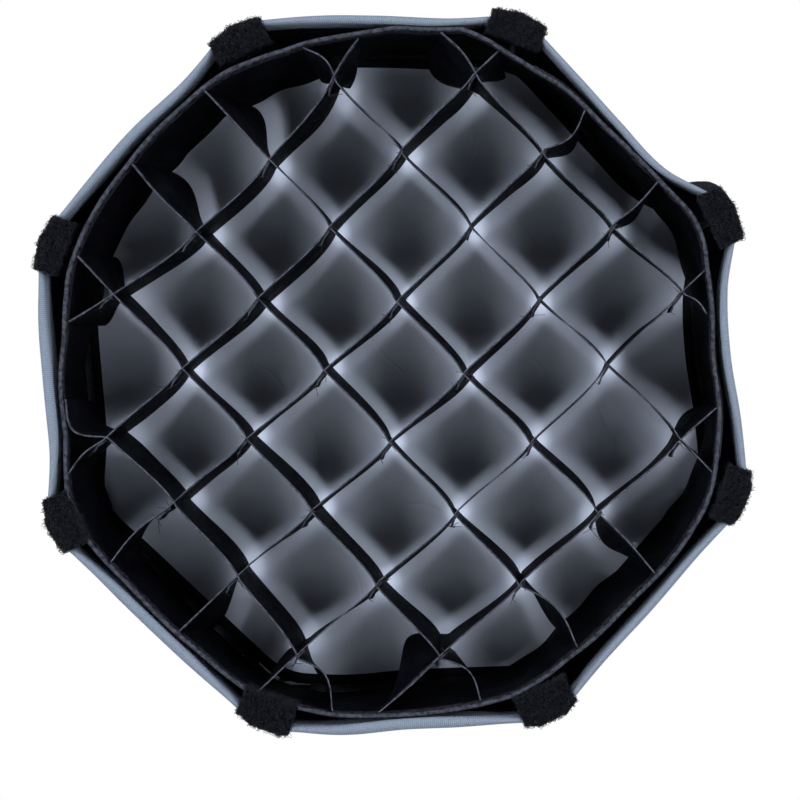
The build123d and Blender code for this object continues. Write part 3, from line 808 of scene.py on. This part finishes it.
def lip_loop_tape():
    piles = []
    for side in range(1, SIDES + 1):
        theta = side_span(side, TAPE_GAP, 70)
        depth = np.linspace(LIP_BACK, LIP_FRONT, 30)[:, None]
        face = place(theta[None, :], lip_reach(theta[None, :], depth, 1.9), depth)
        back = place(theta[None, :], lip_reach(theta[None, :], depth, 0.35), depth)
        obj = band(f"lip_tape_{side}", face, back, PILE)
        at, normal = sample_grid(face[18:], 900, RNG)
        toward_axis = -at * [1, 0, 1]
        normal *= np.sign((normal * toward_axis).sum(axis=1, keepdims=True))
        piles.append(loops_on(at, normal, 0.7, 0.35, RNG))
        settle(obj, "softbox", ["lip_loop_tape"])
    pile = fibres("lip_tape_pile", np.concatenate(piles), 0.07, YARN)
    settle(pile, "softbox")


def corner_frame(corner):
    """Unit vectors of a corner: outwards, and clockwise along the rim."""
    angle = math.radians(STEP * corner - HALF)
    out = np.array([math.sin(angle), 0.0, math.cos(angle)])
    across = np.array([math.cos(angle), 0.0, -math.sin(angle)])
    return out, across


POCKET_HALF_WIDTH = 12.0
POCKET_INNER_REACH = 150.2
POCKET_LOOPS, POCKET_LOOSE_LOOPS = 4600, 700
# How far each pocket stands proud of the shell it is folded over, corner by corner.
POCKET_LIFT = (0.3, 0.3, 0.3, 1.4, 1.2, 1.2, 0.3, 0.5)


def pocket_patch(corner):
    """The loop tape's face on one corner: up the outside, over the rim and back inside."""
    out, across = corner_frame(corner)
    middle = STEP * corner - HALF
    w = np.linspace(-POCKET_HALF_WIDTH, POCKET_HALF_WIDTH, 21)
    theta = middle + np.degrees(np.arcsin(w / 160.0))
    fray = 0.4 * np.sin(w * 0.8 + corner) + 0.3 * np.sin(w * 1.3 + 2 * corner)
    rows = []
    for depth in np.linspace(POCKET_BACK, POCKET_FRONT - 3.0, 12):
        lift = POCKET_LIFT[corner - 1] * smooth(depth, POCKET_BACK, POCKET_BACK + 2.5)
        lumps = 0.35 * np.sin(w * 0.55 + depth * 0.5 + corner)
        lumps = lumps + 0.2 * np.sin(w * 0.9 - depth * 0.8 + 2 * corner)
        reach = octagon_soft(theta, depth) + lift + lumps
        rows.append(place(theta + fray * 0.12, reach, depth + fray * (depth < POCKET_BACK + 1)))
    outside = rows[-1] @ out
    front = np.linspace(0.04, 1, 9)
    for share in front:
        height = outside + (POCKET_INNER_REACH - outside) * share
        round_over = 2.6 * np.sqrt(np.clip(1 - (1 - np.minimum(share * 4, 1)) ** 2, 0, 1))
        rows.append(np.outer(height, out) + np.outer(w, across) + [0, -(POCKET_FRONT - 3.0 + round_over), 0])
    for depth in np.linspace(POCKET_FRONT - 2.0, POCKET_FRONT - 15.5, 7):
        height = np.full_like(w, POCKET_INNER_REACH - 0.6)
        rows.append(np.outer(height, out) + np.outer(w, across) + [0, -depth, 0])
    return np.array(rows)


def octagon_soft(theta, depth):
    """Reach of the shell's outside under a pocket, rounded more than the shell itself."""
    apothem = np.interp(depth, PROFILE_DEPTHS, PROFILE_APOTHEMS)
    return octagon(theta, apothem, 30.0) + np.maximum(rim_pull(theta, depth), -0.8) + SHELL_THICK + 0.9


def corner_pockets():
    for corner in range(1, SIDES + 1):
        face = pocket_patch(corner)[:, ::-1]
        obj = cloth(f"pocket_{corner}", face, [PILE])
        thicken(obj, 0.8, -1.0)
        at, normal = sample_grid(face, POCKET_LOOPS, RNG)
        path = loops_on(at, normal, 1.0, 0.6, RNG)
        loose_at, loose_normal = sample_grid(face, POCKET_LOOSE_LOOPS, RNG)
        loose = loops_on(loose_at, loose_normal, 1.9, 1.0, RNG)
        pile = fibres(f"pocket_pile_{corner}", np.concatenate([path, loose]), 0.10, YARN)
        settle(obj, "softbox", [f"corner_pocket_{corner}"])
        settle(pile, "softbox")


# The tape's loose end at corner 2 stands off the rim as a pouch: angle and reach of its outline.
FLAP_THETA = (68.0, 66.5, 65.0, 63.8, 62.8, 61.8, 60.9, 60.2)
FLAP_REACH = (160.6, 160.7, 160.4, 159.8, 158.6, 156.4, 152.8, 149.0)
FLAP_BACK, FLAP_FRONT = 146.5, 162.5


def corner_flap():
    spots = np.linspace(0, len(FLAP_THETA) - 1, 29)
    theta = np.interp(spots, range(len(FLAP_THETA)), FLAP_THETA)
    outline = np.interp(spots, range(len(FLAP_REACH)), FLAP_REACH)
    rows = []
    for depth in np.linspace(FLAP_BACK, FLAP_FRONT, 9):
        rows.append(place(theta, outline - 0.10 * (FLAP_FRONT - depth), depth + 0.25 * np.sin(theta * 2.1)))
    for share in np.linspace(0.05, 1, 8):
        inner = np.minimum(shell_reach(theta, 163.0) + 0.6, outline - 1.0)
        front = FLAP_FRONT + 0.9 * math.sin(share * math.pi / 2)
        rows.append(place(theta, outline + (inner - outline) * share, front))
    points = np.array(rows)[:, ::-1]
    obj = cloth("pocket_2_loose_end", points, [NYLON])
    thicken(obj, 0.6, -1.0, even=False)
    settle(obj, "softbox")


# ---- diffusers
def disc_points(edge, depth_at, rings):
    """Rings of points from near the axis out to an edge, given as angles and reaches."""
    theta, reach = edge
    rows = []
    for share in np.linspace(0.02, 1, rings):
        r = reach * share
        rows.append(place(theta, r, depth_at(theta, r, share)))
    return np.array(rows)


def filled_disc(name, points, materials, edge_rings=0):
    """A disc from rings of points, whose last few rings may take the second material."""
    rings, columns = points.shape[:2]
    faces = grid_faces(rings, columns, False, True).tolist()
    verts = points.reshape(-1, 3)
    faces.append(list(range(columns))[::-1])
    flat = verts[:, [0, 2]]
    uv = [flat[v] for face in faces for v in face]
    slots = [0] * (columns * (rings - 1 - edge_rings)) + [1] * (columns * edge_rings) + [0]
    return new_object(name, verts, faces, materials, np.array(uv), slots)


# How far the front diffuser bows forward in its middle.
DIFFUSER_BOW = 4.3


def front_diffuser():
    theta = np.linspace(0, 360, 256, endpoint=False)
    apothem = np.interp(DIFFUSER_FRONT, PROFILE_DEPTHS, PROFILE_APOTHEMS) - 2.9
    reach = octagon(theta, apothem, 26.0) + rim_pull(theta, DIFFUSER_FRONT)

    def depth_at(angle, r, share):
        x, z = r * sind(angle), r * cosd(angle)
        pull = 0.6 * np.sin(x / 21 + z / 47) * np.sin(z / 31 - x / 63) * (1 - share**4)
        return DIFFUSER_BACK + 0.3 + pull + DIFFUSER_BOW * (1 - share**2.5) ** 0.8

    rings = disc_points((theta, reach), depth_at, 60)
    obj = filled_disc("front_diffuser_cloth", rings, [SATIN, NYLON], edge_rings=2)
    thicken(obj, 0.5)
    settle(obj, "diffuser", ["front_diffuser"])
    for side in range(1, SIDES + 1):
        span = side_span(side, TAPE_GAP, 60)[None, :]
        depth = np.linspace(DIFFUSER_BACK, DIFFUSER_SKIRT_FRONT, 10)[:, None]
        face = place(span, lip_reach(span, depth, 3.4), depth)
        back = place(span, lip_reach(span, depth, 2.6), depth)
        skirt = band(f"diffuser_skirt_{side}", face, back, HOOKS)
        settle(skirt, "diffuser", ["diffuser_hook_tape"])


def inner_diffuser():
    theta = np.linspace(0, 360, 192, endpoint=False)
    reach = octagon(theta, INNER_APOTHEM, 6.0) - 3.5 * (1 + np.cos(np.radians(8 * from_side(theta)))) / 2

    def depth_at(angle, r, share):
        x, z = r * sind(angle), r * cosd(angle)
        return INNER_BACK + 0.3 + 1.0 * np.sin(x / 17 + 0.6) * np.sin(z / 23) * (1 - share**3)

    obj = filled_disc("inner_diffuser_cloth", disc_points((theta, reach), depth_at, 26), [SATIN])
    thicken(obj, 0.5)
    settle(obj, "softbox", ["inner_diffuser"])
    turn = np.linspace(0, 360, 8, endpoint=False)[:, None]
    rim = reach - 0.4 + 1.1 * sind(turn)
    hem = cloth(
        "inner_diffuser_hem",
        place(theta[None, :], rim, INNER_BACK + 0.3 + 0.9 * cosd(turn)),
        [ELASTIC],
        wrap_rows=True,
        wrap_columns=True,
    )
    settle(hem, "softbox")
    low = INNER_APOTHEM / COS_HALF - 2.0
    for corner in range(1, SIDES + 1):
        out, across = corner_frame(corner)
        high = shell_reach(STEP * corner - HALF, INNER_BACK) - 5.6
        w = np.array([-4.0, -1.5, 1.5, 4.0])
        h = np.linspace(low, high, 14)
        sag = 0.4 * np.sin(np.pi * (h - low) / (high - low))
        face = h[None, :, None] * out + w[:, None, None] * across
        face = face + np.array([0, -1.0, 0]) * (INNER_BACK + 0.1 + sag[None, :, None])
        strap = cloth(f"inner_strap_{corner}", face, [ELASTIC])
        thicken(strap, 0.9)
        settle(strap, "softbox", ["inner_diffuser_straps"])


# ---- egg-crate grid
HEM = 2.2
HOOK_TAPE_BACK, HOOK_TAPE_FRONT = 134.0, 162.0
FIRST_HOOK_ROW, HOOK_PITCH, HOOKS_PER_ROW = 140.0, 1.7, 68
TAB_LENGTH = (5.5, 8.5)
TAB_THREADS = 9
RISING_PITCH = 41.7
FALLING_PITCH = 44.4
RISING_DEG = 41.1
FALLING_DEG = -48.9
STRIPS = 6
LATTICE_CENTRE = np.array([0.0, 0.5])


def mark_painted_highlight(obj, values):
    # Stores where the grid cloth gets its painted highlight, as the attribute edge.
    attribute = obj.data.attributes.new("edge", "FLOAT", "POINT")
    attribute.data.foreach_set("value", np.asarray(values, np.float32))


def grid_border():
    theta = side_angles(44)[None, :]
    front_wave = 0.7 * ripple(theta, (7, 15, 29, 43), 9)
    section = [(GRID_BACK, 0.0)]
    section += [(depth, 0.0) for depth in np.linspace(GRID_BACK + 4, GRID_FRONT - 0.6, 9)]
    section += [(GRID_FRONT, 0.5), (GRID_FRONT + 0.15, 1.1), (GRID_FRONT, 1.7)]
    section += [(GRID_FRONT - 0.6, HEM), (GRID_FRONT - 4.4, HEM)]
    section += [(GRID_FRONT - 5.0, 1.6), (GRID_FRONT - 5.3, 0.75)]
    section += [(depth, 0.75) for depth in np.linspace(GRID_FRONT - 7, GRID_BACK, 8)]
    rows, edge = [], []
    for depth, inward in section:
        wave = front_wave * smooth(depth, GRID_BACK + 8, GRID_FRONT)
        rows.append(place(theta[0], border_reach(theta[0], depth) - inward, depth + wave[0]))
        # The edge values paint a highlight: strongest along the front edge, weaker on the hem's front-facing
        # fold.
        edge.append(0.85 if depth > GRID_FRONT - 0.3 else 0.55 if inward == HEM else 0.0)
    obj = cloth("grid_border_cloth", np.array(rows), [GRID_CLOTH], wrap_rows=True, wrap_columns=True)
    mark_painted_highlight(obj, np.repeat(edge, theta.shape[1]))
    settle(obj, "grid", ["grid_border"])


def hook_tape():
    """Hook tape on the outside of the border, with rows of moulded hooks."""
    hooks = []
    for side in range(1, SIDES + 1):
        theta = side_span(side, TAPE_GAP, 60)
        depth = np.linspace(HOOK_TAPE_BACK, HOOK_TAPE_FRONT, 16)[:, None]
        base = border_reach(theta[None, :], depth)
        face = place(theta[None, :], base + 0.9, depth)
        back = place(theta[None, :], base + 0.15, depth)
        obj = band(f"grid_hook_tape_{side}", face, back, HOOKS)
        settle(obj, "grid", ["grid_hook_tape"])
        for row in np.arange(FIRST_HOOK_ROW, HOOK_TAPE_FRONT, HOOK_PITCH):
            along = side_span(side, HOOK_GAP, HOOKS_PER_ROW) + RNG.uniform(-0.12, 0.12, HOOKS_PER_ROW)
            foot = border_reach(along, row) + 0.85
            curl = [(0.0, 0.0), (0.0, 0.45), (0.25, 0.75), (0.55, 0.62)]
            hooks.append(np.stack([place(along, foot + up, row + ahead) for ahead, up in curl], axis=1))
    obj = fibres("grid_hooks", np.concatenate(hooks), 0.13, HOOKS)
    settle(obj, "grid")


def lattice_place(rising, index):
    """A point on a strip's line, the line's direction and its normal, seen from the front, in mm.

    Both families run to the right. Rising strips are counted towards the lower right, falling ones towards
    the upper right, and each family's normal points the way it is counted.
    """
    angle = math.radians(RISING_DEG if rising else FALLING_DEG)
    along = np.array([math.cos(angle), math.sin(angle)])
    normal = np.array([along[1], -along[0]]) if rising else np.array([-along[1], along[0]])
    pitch = RISING_PITCH if rising else FALLING_PITCH
    return LATTICE_CENTRE + normal * pitch * (index - (STRIPS - 1) / 2), along, normal


def crossings(rising, index):
    """Distances along a strip where the other family crosses it."""
    point, along, _ = lattice_place(rising, index)
    found = []
    for other in range(STRIPS):
        start, direction, _ = lattice_place(not rising, other)
        matrix = np.array([along, -direction]).T
        found.append(np.linalg.solve(matrix, start - point)[0])
    return sorted(found)


# How far each strip strays along its normal, in mm: 70 mm left of its middle, at its middle, and 70 mm right.
RISING_STRAY = (
    (-2.0, 4.5, -3.5),
    (0.5, 1.0, -2.5),
    (-0.5, 1.7, -0.7),
    (-0.7, 1.5, 0.3),
    (-0.5, 1.0, -0.5),
    (-1.0, 0.3, 2.2),
)
FALLING_STRAY = (
    (1.5, 2.5, -5.0),
    (1.7, 0.2, -2.5),
    (1.5, 0.4, -1.3),
    (0.5, -1.2, -1.0),
    (-0.3, -0.5, 1.3),
    (1.0, -1.6, 1.8),
)


def stray(rising, index, spots):
    left, middle, right = (RISING_STRAY if rising else FALLING_STRAY)[index]
    t = np.clip(spots / 70.0, -1.6, 1.6)
    return middle + t * (right - left) / 2 + t * t * ((right + left) / 2 - middle)


def lean_back(flat, share):
    """Pulls the back of the grid towards the axis, more so further out, and lets it sway."""
    x, z = flat[..., 0], flat[..., 1]
    reach = np.hypot(x, z)
    lean = 1 - 0.064 * (1 - share) * (reach / 138.0) ** 6
    sway_x = 1.2 * np.sin(z / 17 + x / 29 + 0.7) * (1 - share)
    sway_z = 1.2 * np.sin(x / 19 - z / 31 + 2.6) * (1 - share)
    return np.stack([x * lean + sway_x, z * lean + sway_z], axis=-1)


def end_distance(point, along, depth, sign):
    """How far along a strip's line the border's inner face is."""
    low, high = 0.0, 170.0
    for _ in range(40):
        middle = (low + high) / 2
        at = point + along * middle * sign
        angle = math.degrees(math.atan2(at[0], at[1]))
        if math.hypot(*at) < border_reach(angle, depth) - HEM - 0.2:
            low = middle
        else:
            high = middle
    return low * sign


# How each strip's left and right ends hang beyond the last crossing, in mm along its normal: the swing of the
# front edge, the swing of the back edge, and how far to the side the back edge is sewn on.
RISING_ENDS = (
    ((0.0, 1.0, 6.0), (-1.0, 11.0, 4.0)),
    ((-2.0, -1.0, 0.0), (0.0, 2.0, 7.0)),
    ((-2.0, -4.0, 0.0), (4.0, 7.0, 2.0)),
    ((0.0, 1.0, 8.0), (1.0, 5.0, 0.0)),
    ((0.0, -3.0, -2.0), (0.0, 1.0, 0.0)),
    ((1.0, -14.0, 0.0), (0.0, -5.0, -4.0)),
)
FALLING_ENDS = (
    ((-8.0, -6.0, 3.0), (6.0, -3.0, 0.0)),
    ((0.0, 2.0, 8.0), (5.0, 3.0, 0.0)),
    ((-1.0, 4.0, 8.0), (5.0, 0.0, -4.0)),
    ((0.0, 3.0, 9.0), (1.0, -6.0, -5.0)),
    ((4.0, 0.0, -5.0), (0.0, -1.0, 0.0)),
    ((2.0, -6.0, -12.0), (3.0, -1.0, 0.0)),
)


def strip_ends(rising, index, depth, share):
    """Where a strip meets the border at one depth, as distances along it to the left and to the right."""
    point, along, normal = lattice_place(rising, index)
    hang = (RISING_ENDS if rising else FALLING_ENDS)[index]
    found = []
    for sign, (_, _, shift) in zip((-1, 1), hang):
        start = point + normal * (shift * (1 - share) + stray(rising, index, sign * 90.0))
        found.append(end_distance(start, along, depth, sign))
    return found


def strip_shape(rising, index, spots, share, nodes, ends):
    """Sideways offset in mm along a strip: rounded before each crossing and hanging loose at the ends."""
    offset = stray(rising, index, np.clip(spots, -90.0, 90.0)) + (1.4 if rising else 0.5) * (1 - share)
    hang = (RISING_ENDS if rising else FALLING_ENDS)[index]
    rim = strip_ends(rising, index, GRID_FRONT, 1.0)
    inside = [node for node in nodes if rim[0] + 4 < node < rim[1] - 4]
    front_bulge, back_bulge = (5.6, 9.2) if rising else (6.6, 8.8)
    for start, end in zip(inside[:-1], inside[1:]):
        u = np.clip((spots - start) / (end - start), 0, 1)
        bulge = (back_bulge + (front_bulge - back_bulge) * share) * u**2.2 * (1 - u) ** 0.75
        offset += bulge * ((spots > start) & (spots < end))
    for sign, node, end, amounts in ((-1, inside[0], ends[0], hang[0]), (1, inside[-1], ends[1], hang[1])):
        front, back, shift = amounts
        q = (spots - node) / (end - node)
        q = np.clip(np.where((spots - node) * sign > 0, q, 0), 0, 1)
        swing = back + (front - back) * share
        fade = min(1.0, abs(end - node) / 25)
        offset += swing * np.sin(np.pi * q) ** 1.2 * fade + shift * (1 - share) * smooth(q, 0.1, 1.0)
    return offset


def grid_strip(rising, index):
    point, along, normal = lattice_place(rising, index)
    nodes = crossings(rising, index)
    back, front = GRID_BACK + 0.5, GRID_FRONT - 0.5
    rows = []
    shares = np.linspace(0, 1, 13)
    samples = 300
    for share in shares:
        depth = back + (front - back) * share
        ends = strip_ends(rising, index, depth, share)
        spots = np.linspace(*ends, samples)
        offset = strip_shape(rising, index, spots, share, nodes, ends)
        flat = point + spots[:, None] * along + offset[:, None] * normal
        moved = lean_back(flat, share)
        keep = smooth(np.minimum(spots - ends[0], ends[1] - spots), 0, 30)[:, None]
        flat = flat * (1 - keep) + moved * keep
        fray = 0.25 * np.sin(spots * 2.9 + index) * np.sin(spots * 1.1) if share == 1 else 0.0
        rows.append(np.stack([flat[:, 0], np.full(samples, -depth) - fray, flat[:, 1]], axis=-1))
    family = "rising" if rising else "falling"
    obj = cloth(f"grid_strip_{family}_{index + 1}", np.array(rows), [GRID_CLOTH])
    # Paints a highlight along the strip's front edge.
    mark_painted_highlight(obj, np.repeat(smooth(shares, 0.93, 1.0), samples))
    thicken(obj, 0.55)
    settle(obj, "grid", [f"grid_strips_{family}"])


def crossing_tabs():
    """A small doubled tab with frayed ends at the front of each crossing, on the rising strip."""
    tabs, threads = [], []
    for index in range(STRIPS):
        point, along, normal = lattice_place(True, index)
        ends = strip_ends(True, index, GRID_FRONT, 1.0)
        for node in crossings(True, index):
            if not ends[0] + 8 < node < ends[1] - 6:
                continue
            length = RNG.uniform(*TAB_LENGTH)
            spots = np.linspace(node - length, node + 0.8, 8)
            rows = []
            for share in np.linspace(0.62, 1.0, 5):
                depth = GRID_BACK + 0.5 + (GRID_FRONT - GRID_BACK - 1) * share
                nodes = crossings(True, index)
                offset = strip_shape(True, index, spots, share, nodes, ends) + 0.9
                offset = offset + 1.1 * smooth(node - spots, length - 3, length)
                flat = lean_back(point + spots[:, None] * along + offset[:, None] * normal, share)
                ragged = 0.5 * np.sin(spots * 5 + node) * (share == 1.0)
                rows.append(np.stack([flat[:, 0], -(depth + ragged), flat[:, 1]], axis=-1))
            tab = cloth(f"tab_{index}_{len(tabs)}", np.array(rows), [GRID_CLOTH])
            # Paints a highlight along the tab's front edge.
            mark_painted_highlight(tab, np.repeat([0, 0, 0, 0.2, 0.8], 8))
            tabs.append(thicken(tab, 0.6))
            root = np.array(rows)[-1][RNG.choice([0, 0, 6, 7, 7], TAB_THREADS)]
            way = RNG.normal(size=(TAB_THREADS, 3)) * [1.0, 0.4, 1.0]
            steps = np.linspace(0, 2.0, 4)
            threads.append(root[:, None, :] + way[:, None, :] * steps[None, :, None])
    for tab in tabs:
        bpy.context.view_layer.objects.active = tab
        bpy.ops.object.modifier_apply(modifier="thickness")
    obj = joined("grid_crossing_tabs", tabs)
    settle(obj, "grid")
    fray = fibres("grid_frayed_threads", np.concatenate(threads), 0.13, YARN)
    settle(fray, "grid")


# ---- floor, light and camera
FLOOR_RINGS = (20.0, 1100.0, 1140.0, 1148.0, 1150.0)
FLOOR_DROPS = np.array([0.0, 0.0, -1.0, -4.0, -10.0])
FLOOR_LEVEL = -420.0
FLOOR_MIDDLE_Y = -200.0
FLOOR_SEGMENTS = 96


def floor():
    """A round plain floor with a rolled edge."""
    theta = np.linspace(0, 360, FLOOR_SEGMENTS, endpoint=False)
    points = np.array([place(theta, reach, 0.0) for reach in FLOOR_RINGS])
    height = np.broadcast_to(FLOOR_DROPS[:, None] + FLOOR_LEVEL, points.shape[:2])
    flat = np.stack([points[..., 0], points[..., 2] + FLOOR_MIDDLE_Y, height], -1)
    faces = grid_faces(len(FLOOR_RINGS), FLOOR_SEGMENTS, False, True).tolist()
    faces.append(list(range(FLOOR_SEGMENTS))[::-1])
    obj = new_object("floor", flat.reshape(-1, 3), faces, [floor_paint()])


def aim(obj, target):
    direction = np.array(target) - np.array(obj.location)
    obj.rotation_mode = "QUATERNION"
    obj.rotation_quaternion = Vector(direction).to_track_quat("-Z", "Y")


def area_light(name, place_at, target, size, power, colour):
    data = bpy.data.lights.new(name, "AREA")
    data.shape = "RECTANGLE"
    data.size, data.size_y = size
    data.energy = power
    data.color = colour
    obj = bpy.data.objects.new(name, data)
    bpy.context.scene.collection.objects.link(obj)
    obj.location = place_at
    aim(obj, target)
    obj.visible_camera = False


def lights():
    """Two large soft boxes, left and right of the lens."""
    target = (0.0, -0.12, 0.0)
    area_light("box_left", (-1.15, -1.10, 0.15), target, (0.9, 1.2), 0.6, (0.88, 0.94, 1.0))
    area_light("box_right", (1.15, -1.10, 0.05), target, (0.9, 1.2), 0.5, (0.88, 0.94, 1.0))


# The surround, by how steeply its directions leave the lamp axis, in degrees to the side and up or down: dark
# round the lens, a tall soft box each side, a wide one above and below, and a pale room behind the octabox.
SIDE_BOX_DEG = (36.0, 43.0, 50.0, 58.0)
SIDE_BOX_HALF_HEIGHT_DEG = (25.0, 40.0)
SIDE_BOX_LEVEL = 10.6
UPPER_BOX_DEG = (44.0, 47.0, 54.0, 64.0)
UPPER_BOX_LEVEL = 9.4
ROOM_LEVEL = 0.06
BEHIND_LEVEL = 0.9
SURROUND_COLOUR = (0.80, 0.87, 1.0, 1.0)


class Surround(NodeTree):
    """The world's nodes."""

    def __init__(self):
        self.world = bpy.data.worlds.new("studio")
        self.world.use_nodes = True
        self.tree = self.world.node_tree
        self.tree.nodes.clear()

    def soft_step(self, value, start, end):
        """0 before start, 1 after end."""
        step = self.tree.nodes.new("ShaderNodeMapRange")
        step.interpolation_type = "SMOOTHSTEP"
        step.inputs["From Min"].default_value = start
        step.inputs["From Max"].default_value = end
        self.link(value, step.inputs["Value"])
        return step.outputs[0]

    def band(self, steepness, angles):
        """1 between the two middle angles, falling off softly to both outer ones."""
        start, full, fade, end = (math.tan(math.radians(a)) for a in angles)
        rise = self.soft_step(steepness, start, full)
        fall = self.soft_step(steepness, fade, end)
        return self.math("MULTIPLY", rise, self.math("SUBTRACT", 1.0, fall))

    def background(self, colour, strength):
        node = self.tree.nodes.new("ShaderNodeBackground")
        node.inputs["Color"].default_value = colour
        if isinstance(strength, (int, float)):
            node.inputs["Strength"].default_value = strength
        else:
            self.link(strength, node.inputs["Strength"])
        return node.outputs[0]


def world():
    """Soft boxes round the lens; seen directly, the surround is plain white."""
    surround = Surround()
    tree = surround.tree
    coords = tree.nodes.new("ShaderNodeTexCoord")
    split = tree.nodes.new("ShaderNodeSeparateXYZ")
    tree.links.new(coords.outputs["Generated"], split.inputs[0])
    x, y, z = split.outputs
    ahead = surround.math("MAXIMUM", surround.math("MULTIPLY", y, -1.0), 0.02)
    sideways = surround.math("DIVIDE", surround.math("ABSOLUTE", x), ahead)
    upward = surround.math("DIVIDE", surround.math("ABSOLUTE", z), ahead)
    low, high = (math.tan(math.radians(a)) for a in SIDE_BOX_HALF_HEIGHT_DEG)
    level_with_lens = surround.math("SUBTRACT", 1.0, surround.soft_step(upward, low, high))
    side_box = surround.math("MULTIPLY", surround.band(sideways, SIDE_BOX_DEG), level_with_lens)
    upper_box = surround.band(upward, UPPER_BOX_DEG)
    behind = surround.soft_step(y, 0.1, 0.5)
    strength = surround.math("MULTIPLY_ADD", side_box, SIDE_BOX_LEVEL, ROOM_LEVEL)
    strength = surround.math("MULTIPLY_ADD", upper_box, UPPER_BOX_LEVEL, strength)
    strength = surround.math("MULTIPLY_ADD", behind, BEHIND_LEVEL, strength)
    path = tree.nodes.new("ShaderNodeLightPath")
    mix = tree.nodes.new("ShaderNodeMixShader")
    tree.links.new(path.outputs["Is Camera Ray"], mix.inputs[0])
    tree.links.new(surround.background(SURROUND_COLOUR, strength), mix.inputs[1])
    tree.links.new(surround.background((1.0, 1.0, 1.0, 1.0), 1.0), mix.inputs[2])
    out = tree.nodes.new("ShaderNodeOutputWorld")
    tree.links.new(mix.outputs[0], out.inputs["Surface"])
    bpy.context.scene.world = surround.world


CAMERA_PLACE = (0.0732, -1.5712, 0.0353)
CAMERA_AIM = (0.0031, -0.1675, -0.0129)
CAMERA_ROLL_DEG = 2.4
LENS_MM = 148.5


def camera():
    data = bpy.data.cameras.new("camera")
    data.lens = LENS_MM
    data.sensor_width = 36.0
    obj = bpy.data.objects.new("camera", data)
    bpy.context.scene.collection.objects.link(obj)
    obj.location = CAMERA_PLACE
    aim(obj, CAMERA_AIM)
    obj.rotation_quaternion = obj.rotation_quaternion @ Quaternion((0, 0, 1), -math.radians(CAMERA_ROLL_DEG))
    bpy.context.scene.camera = obj


dress_frame()
shell()
seam_stitches()
rear_collar()
edge_binding()
lip_loop_tape()
corner_pockets()
corner_flap()
front_diffuser()
inner_diffuser()
grid_border()
hook_tape()
for family in (True, False):
    for strip in range(STRIPS):
        grid_strip(family, strip)
crossing_tabs()
floor()
lights()
world()
camera()
bpy.context.scene.view_settings.view_transform = "Standard"
